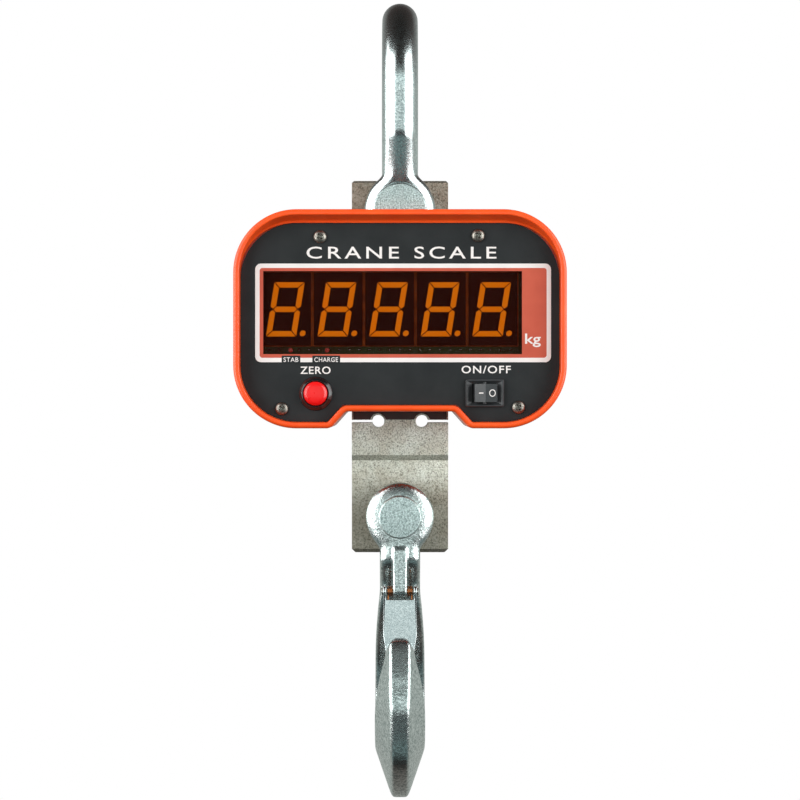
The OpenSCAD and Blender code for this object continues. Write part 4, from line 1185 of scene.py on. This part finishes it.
def finish_cad_nodes():
    """Gives every CAD node that still shows its own finish."""
    for node, piece in frame["nodes"].items():
        finish = FINISHES[NODE_SLOT[node]]
        for index in range(max(1, len(piece.material_slots))):
            if piece.material_slots:
                piece.material_slots[index].material = finish
            else:
                piece.data.materials.append(finish)


# ---------------------------------------------------------------- stage

SOFTBOXES = {
    # name: azimuth from straight ahead in degrees, width in metres, watts
    "left_front": (-52, 0.75, 15), "left_side": (-88, 0.6, 8),
    "right_front": (52, 0.7, 14), "right_side": (76, 0.36, 5),
}
SOFTBOX_REACH, SOFTBOX_TALL, SOFTBOX_LIFT = 1.3, 1.4, 0.25
FLOOR_DROP, FLOOR_HALF = 1.4, 6.0

# What the metal mirrors, from straight down (0) over level (0.5) to straight up (1): a dark studio
# with a bright band at eye level ahead, and a soft grey one behind
AHEAD = [
    (0.0, "#181412"), (0.13, "#2A2C2C"), (0.17, "#6E8282"), (0.22, "#6E8282"), (0.27, "#2C2C2E"),
    (0.442, "#2A282A"), (0.46, "#D8EAE8"), (0.475, "#F4FFFE"), (0.57, "#ECFEFC"), (0.6, "#5E5C5A"),
    (0.64, "#241E1C"), (1.0, "#0E0A08")]
BEHIND = [
    (0.0, "#645F5B"), (0.3, "#949692"), (0.5, "#A6ACA8"), (0.62, "#80807E"), (0.78, "#382F2D"),
    (1.0, "#181412")]
FILL = [(0.0, "#1E1A18"), (0.42, "#7A7876"), (0.6, "#F0F2F4"), (1.0, "#FFFFFF")]


def soft_light(name, place, target, size, power, colour="#FFFFFF"):
    """A rectangular area light, in metres and watts, turned to face a target."""
    data = bpy.data.lights.new(name, "AREA")
    data.shape = "RECTANGLE"
    data.size, data.size_y = size
    data.energy = power
    data.color = linear(colour)[:3]
    lamp = bpy.data.objects.new(name, data)
    bpy.context.scene.collection.objects.link(lamp)
    lamp.location = place
    lamp.rotation_euler = (Vector(target) - Vector(place)).to_track_quat("-Z", "Y").to_euler()


def add_camera(middle):
    """A level camera straight ahead of the display."""
    scene = bpy.context.scene
    data = bpy.data.cameras.new("camera")
    data.sensor_width = 36
    data.lens = look().lens_mm
    data.clip_end = 50
    camera = bpy.data.objects.new("camera", data)
    scene.collection.objects.link(camera)
    camera.location = (0, -look().distance_m, middle.z)
    camera.rotation_euler = (math.pi / 2, 0, 0)
    scene.camera = camera


def add_lights(middle):
    """Four tall softboxes round the front and a faint strip above the camera."""
    for name, (azimuth, width, power) in SOFTBOXES.items():
        a = math.radians(azimuth)
        place = (SOFTBOX_REACH * math.sin(a), -SOFTBOX_REACH * math.cos(a), middle.z + SOFTBOX_LIFT)
        soft_light(f"softbox_{name}", place, middle, (width, SOFTBOX_TALL), power)
    soft_light("front_strip", (0, -1.35, middle.z + 0.5), middle, (0.5, 0.22), 0.12, "#EFFFFF")


def pale_room():
    """A white room to the eye, a banded studio to the mirror-like metal, and a soft fill to the rest."""
    world = bpy.data.worlds.new("pale_room")
    world.use_nodes = True
    tree = world.node_tree
    tree.nodes.clear()
    ray = add_node(tree, "ShaderNodeLightPath")
    way = add_node(tree, "ShaderNodeTexCoord").outputs["Generated"]
    parts = add_node(tree, "ShaderNodeSeparateXYZ", {"Vector": way})
    height = add_node(tree, "ShaderNodeMapRange", {
        "Value": parts.outputs["Z"], "From Min": -1.0, "From Max": 1.0})
    turned = add_node(tree, "ShaderNodeMapRange", {
        "Value": parts.outputs["Y"], "From Min": -0.3, "From Max": 0.25})
    ahead = add_node(tree, "ShaderNodeValToRGB", {"Fac": height}, AHEAD)
    behind = add_node(tree, "ShaderNodeValToRGB", {"Fac": height}, BEHIND)
    around = add_node(tree, "ShaderNodeMix", {"Factor": turned, 6: ahead, 7: behind}, data_type="RGBA")
    lift = add_node(tree, "ShaderNodeValToRGB", {"Fac": height}, FILL)
    seen = add_node(tree, "ShaderNodeBackground", {"Color": (1, 1, 1, 1), "Strength": 1.0})
    mirror = add_node(tree, "ShaderNodeBackground", {"Color": around.outputs[2], "Strength": 1.4})
    fill = add_node(tree, "ShaderNodeBackground", {"Color": lift, "Strength": look().fill_strength})
    glossy = add_node(tree, "ShaderNodeMixShader", {0: ray.outputs["Is Glossy Ray"], 1: fill, 2: mirror})
    mixed = add_node(tree, "ShaderNodeMixShader", {0: ray.outputs["Is Camera Ray"], 1: glossy, 2: seen})
    add_node(tree, "ShaderNodeOutputWorld", {"Surface": mixed})
    return world


def pale_floor():
    """A wide pale floor well below the scale, kept out of its reflections."""
    mesh = bpy.data.meshes.new("floor")
    drop, half = CAD_BOX[0][2] - FLOOR_DROP, FLOOR_HALF
    corners = [(-half, -half, drop), (half, -half, drop), (half, half, drop), (-half, half, drop)]
    mesh.from_pydata(corners, [], [(0, 1, 2, 3)])
    floor = bpy.data.objects.new("floor", mesh)
    bpy.context.scene.collection.objects.link(floor)
    material, tree, shader, place = new_material("pale_studio_floor")
    grain = add_node(tree, "ShaderNodeTexNoise", {
        "Vector": place, "Scale": per_metre(40), "Detail": 2.0, "Roughness": 0.5})
    colour = add_node(tree, "ShaderNodeValToRGB", {"Fac": grain}, [(0.3, "#ECECEA"), (0.7, "#F2F2F0")])
    set_inputs(tree, shader, {
        "Base Color": colour, "Roughness": 0.8, "Emission Color": (1, 1, 1, 1), "Emission Strength": 0.5})
    mesh.materials.append(material)
    floor.visible_glossy = False
    floor.visible_diffuse = False


def build_stage():
    """Camera, lights, a pale room and a pale floor."""
    scene = bpy.context.scene
    scene.view_settings.view_transform = "Standard"
    middle = Vector((0, 0, look().eye_level_mm * MM))
    add_camera(middle)
    add_lights(middle)
    scene.world = pale_room()
    pale_floor()


# ---------------------------------------------------------------- add-on

def hex_property(name, what, default):
    return StringProperty(name=name, description=f"{what}, as an sRGB hex colour", default=default)


def mm_property(name, what, default):
    return FloatProperty(name=name, description=f"{what}, in millimetres", default=default, min=0.05)


class CraneScaleLook(bpy.types.PropertyGroup):
    """Colours and camera sizes that a user would change."""
    case_colour_hex: hex_property("Case", "Powder coat", "#FA5818")
    case_shade_hex: hex_property("Case shade", "The powder coat's darker drift", "#F54E12")
    panel_colour_hex: hex_property("Panel", "Overlay film", "#272A2B")
    ink_hex: hex_property("Ink", "Printed words and lines", "#F0ECE8")
    label_hex: hex_property("Label", "Printed field round the display", "#C75A42")
    segment_hex: hex_property("Segments", "The digits' bars", "#FF9610")
    button_hex: hex_property("Button", "Zero button", "#EC1010")
    zinc_hex: hex_property("Zinc", "Plate on the shackle and the hook", "#E4EBEA")
    lens_mm: FloatProperty(
        name="Lens", description="Focal length on a 36 mm sensor", default=127.2, min=50, max=200)
    distance_m: FloatProperty(
        name="Distance", description="Camera to the load line", default=1.6, min=0.8, max=4, unit="LENGTH")
    fill_strength: FloatProperty(
        name="Fill", description="Soft light from the whole room", default=0.46, min=0, max=2)
    eye_level_mm: FloatProperty(
        name="Eye level", description="Camera height from the crown, in millimetres", default=-203.9)


class CraneScaleSizes(bpy.types.PropertyGroup):
    """Sizes of the fine shapes that a user would change."""
    block_edge_mm: mm_property("Block edge", "Round on the load cell's edges", 0.55)
    latch_edge_mm: mm_property("Latch edge", "Round on the latch's edges", 0.35)
    rocker_edge_mm: mm_property("Rocker edge", "Round on the rocker's edges", 0.45)
    label_line_mm: mm_property("Label line", "Width of the white line round the label", 2.4)
    segment_width_mm: mm_property("Digit width", "Width of a digit across its bars", 16.6)
    segment_height_mm: mm_property("Digit height", "Height of a digit over its bars", 29.8)
    segment_bar_mm: mm_property("Digit bar", "Width of one bar", 3.0)


class CRANESCALE_OT_finishes(bpy.types.Operator):
    """Make every finish and put it on the CAD nodes"""
    bl_idname = "crane_scale.finishes"
    bl_label = "Finishes"

    def execute(self, context):
        FINISHES.update(metal_finishes())
        FINISHES.update(moulded_finishes())
        finish_cad_nodes()
        return {"FINISHED"}


class CRANESCALE_OT_shackle(bpy.types.Operator):
    """Build the bow shackle, its pin and its washer"""
    bl_idname = "crane_scale.shackle"
    bl_label = "Shackle"

    def execute(self, context):
        build_shackle()
        return {"FINISHED"}


class CRANESCALE_OT_load_cell(bpy.types.Operator):
    """Break the block's edges and fit its gauge covers"""
    bl_idname = "crane_scale.load_cell"
    bl_label = "Load cell"

    def execute(self, context):
        build_load_cell()
        return {"FINISHED"}


class CRANESCALE_OT_hook(bpy.types.Operator):
    """Build the forged hook with its pin and washer"""
    bl_idname = "crane_scale.hook"
    bl_label = "Hook"

    def execute(self, context):
        build_hook()
        return {"FINISHED"}


class CRANESCALE_OT_latch(bpy.types.Operator):
    """Build the safety latch and its rivet"""
    bl_idname = "crane_scale.latch"
    bl_label = "Latch"

    def execute(self, context):
        build_latch()
        return {"FINISHED"}


class CRANESCALE_OT_housing(bpy.types.Operator):
    """Build the two case shells"""
    bl_idname = "crane_scale.housing"
    bl_label = "Case"

    def execute(self, context):
        build_front_housing()
        build_rear_housing()
        return {"FINISHED"}


class CRANESCALE_OT_panel(bpy.types.Operator):
    """Build the panel, its label and the filter"""
    bl_idname = "crane_scale.panel"
    bl_label = "Panel"

    def execute(self, context):
        build_panel()
        return {"FINISHED"}


class CRANESCALE_OT_digits(bpy.types.Operator):
    """Build the five digit modules"""
    bl_idname = "crane_scale.digits"
    bl_label = "Digits"

    def execute(self, context):
        build_digits()
        return {"FINISHED"}


class CRANESCALE_OT_printing(bpy.types.Operator):
    """Print the panel's plain words"""
    bl_idname = "crane_scale.printing"
    bl_label = "Print"

    def execute(self, context):
        build_print()
        return {"FINISHED"}


class CRANESCALE_OT_screws(bpy.types.Operator):
    """Build the four panel screws"""
    bl_idname = "crane_scale.screws"
    bl_label = "Panel screws"

    def execute(self, context):
        build_panel_screws()
        return {"FINISHED"}


class CRANESCALE_OT_button(bpy.types.Operator):
    """Build the bezel and the cap"""
    bl_idname = "crane_scale.button"
    bl_label = "Zero button"

    def execute(self, context):
        build_button()
        return {"FINISHED"}


class CRANESCALE_OT_switch(bpy.types.Operator):
    """Build the bezel, the rocker and its marks"""
    bl_idname = "crane_scale.switch"
    bl_label = "Power switch"

    def execute(self, context):
        build_switch()
        return {"FINISHED"}


class CRANESCALE_OT_stage(bpy.types.Operator):
    """Build the camera, the lights, the room and the floor"""
    bl_idname = "crane_scale.stage"
    bl_label = "Stage"

    def execute(self, context):
        build_stage()
        return {"FINISHED"}


STEPS = [
    CRANESCALE_OT_finishes, CRANESCALE_OT_shackle, CRANESCALE_OT_load_cell, CRANESCALE_OT_hook,
    CRANESCALE_OT_latch, CRANESCALE_OT_housing, CRANESCALE_OT_panel, CRANESCALE_OT_digits,
    CRANESCALE_OT_printing, CRANESCALE_OT_screws, CRANESCALE_OT_button, CRANESCALE_OT_switch,
    CRANESCALE_OT_stage,
]


class CRANESCALE_PT_panel(bpy.types.Panel):
    """Lists the settings and every step in the 3D view's sidebar"""
    bl_idname = "CRANESCALE_PT_panel"
    bl_label = "Crane Scale"
    bl_space_type = "VIEW_3D"
    bl_region_type = "UI"
    bl_category = "Crane Scale"

    def draw(self, context):
        for group in (context.scene.crane_scale_look, context.scene.crane_scale_sizes):
            for key in group.__annotations__:
                self.layout.prop(group, key)
        for step in STEPS:
            self.layout.operator(step.bl_idname)


CLASSES = [CraneScaleLook, CraneScaleSizes, *STEPS, CRANESCALE_PT_panel]


def register():
    for kind in CLASSES:
        bpy.utils.register_class(kind)
    bpy.types.Scene.crane_scale_look = PointerProperty(type=CraneScaleLook)
    bpy.types.Scene.crane_scale_sizes = PointerProperty(type=CraneScaleSizes)


def unregister():
    del bpy.types.Scene.crane_scale_sizes
    del bpy.types.Scene.crane_scale_look
    for kind in reversed(CLASSES):
        bpy.utils.unregister_class(kind)


def main():
    register()
    for step in STEPS:
        getattr(bpy.ops.crane_scale, step.bl_idname.split(".")[1])()


if __name__ == "__main__":
    main()
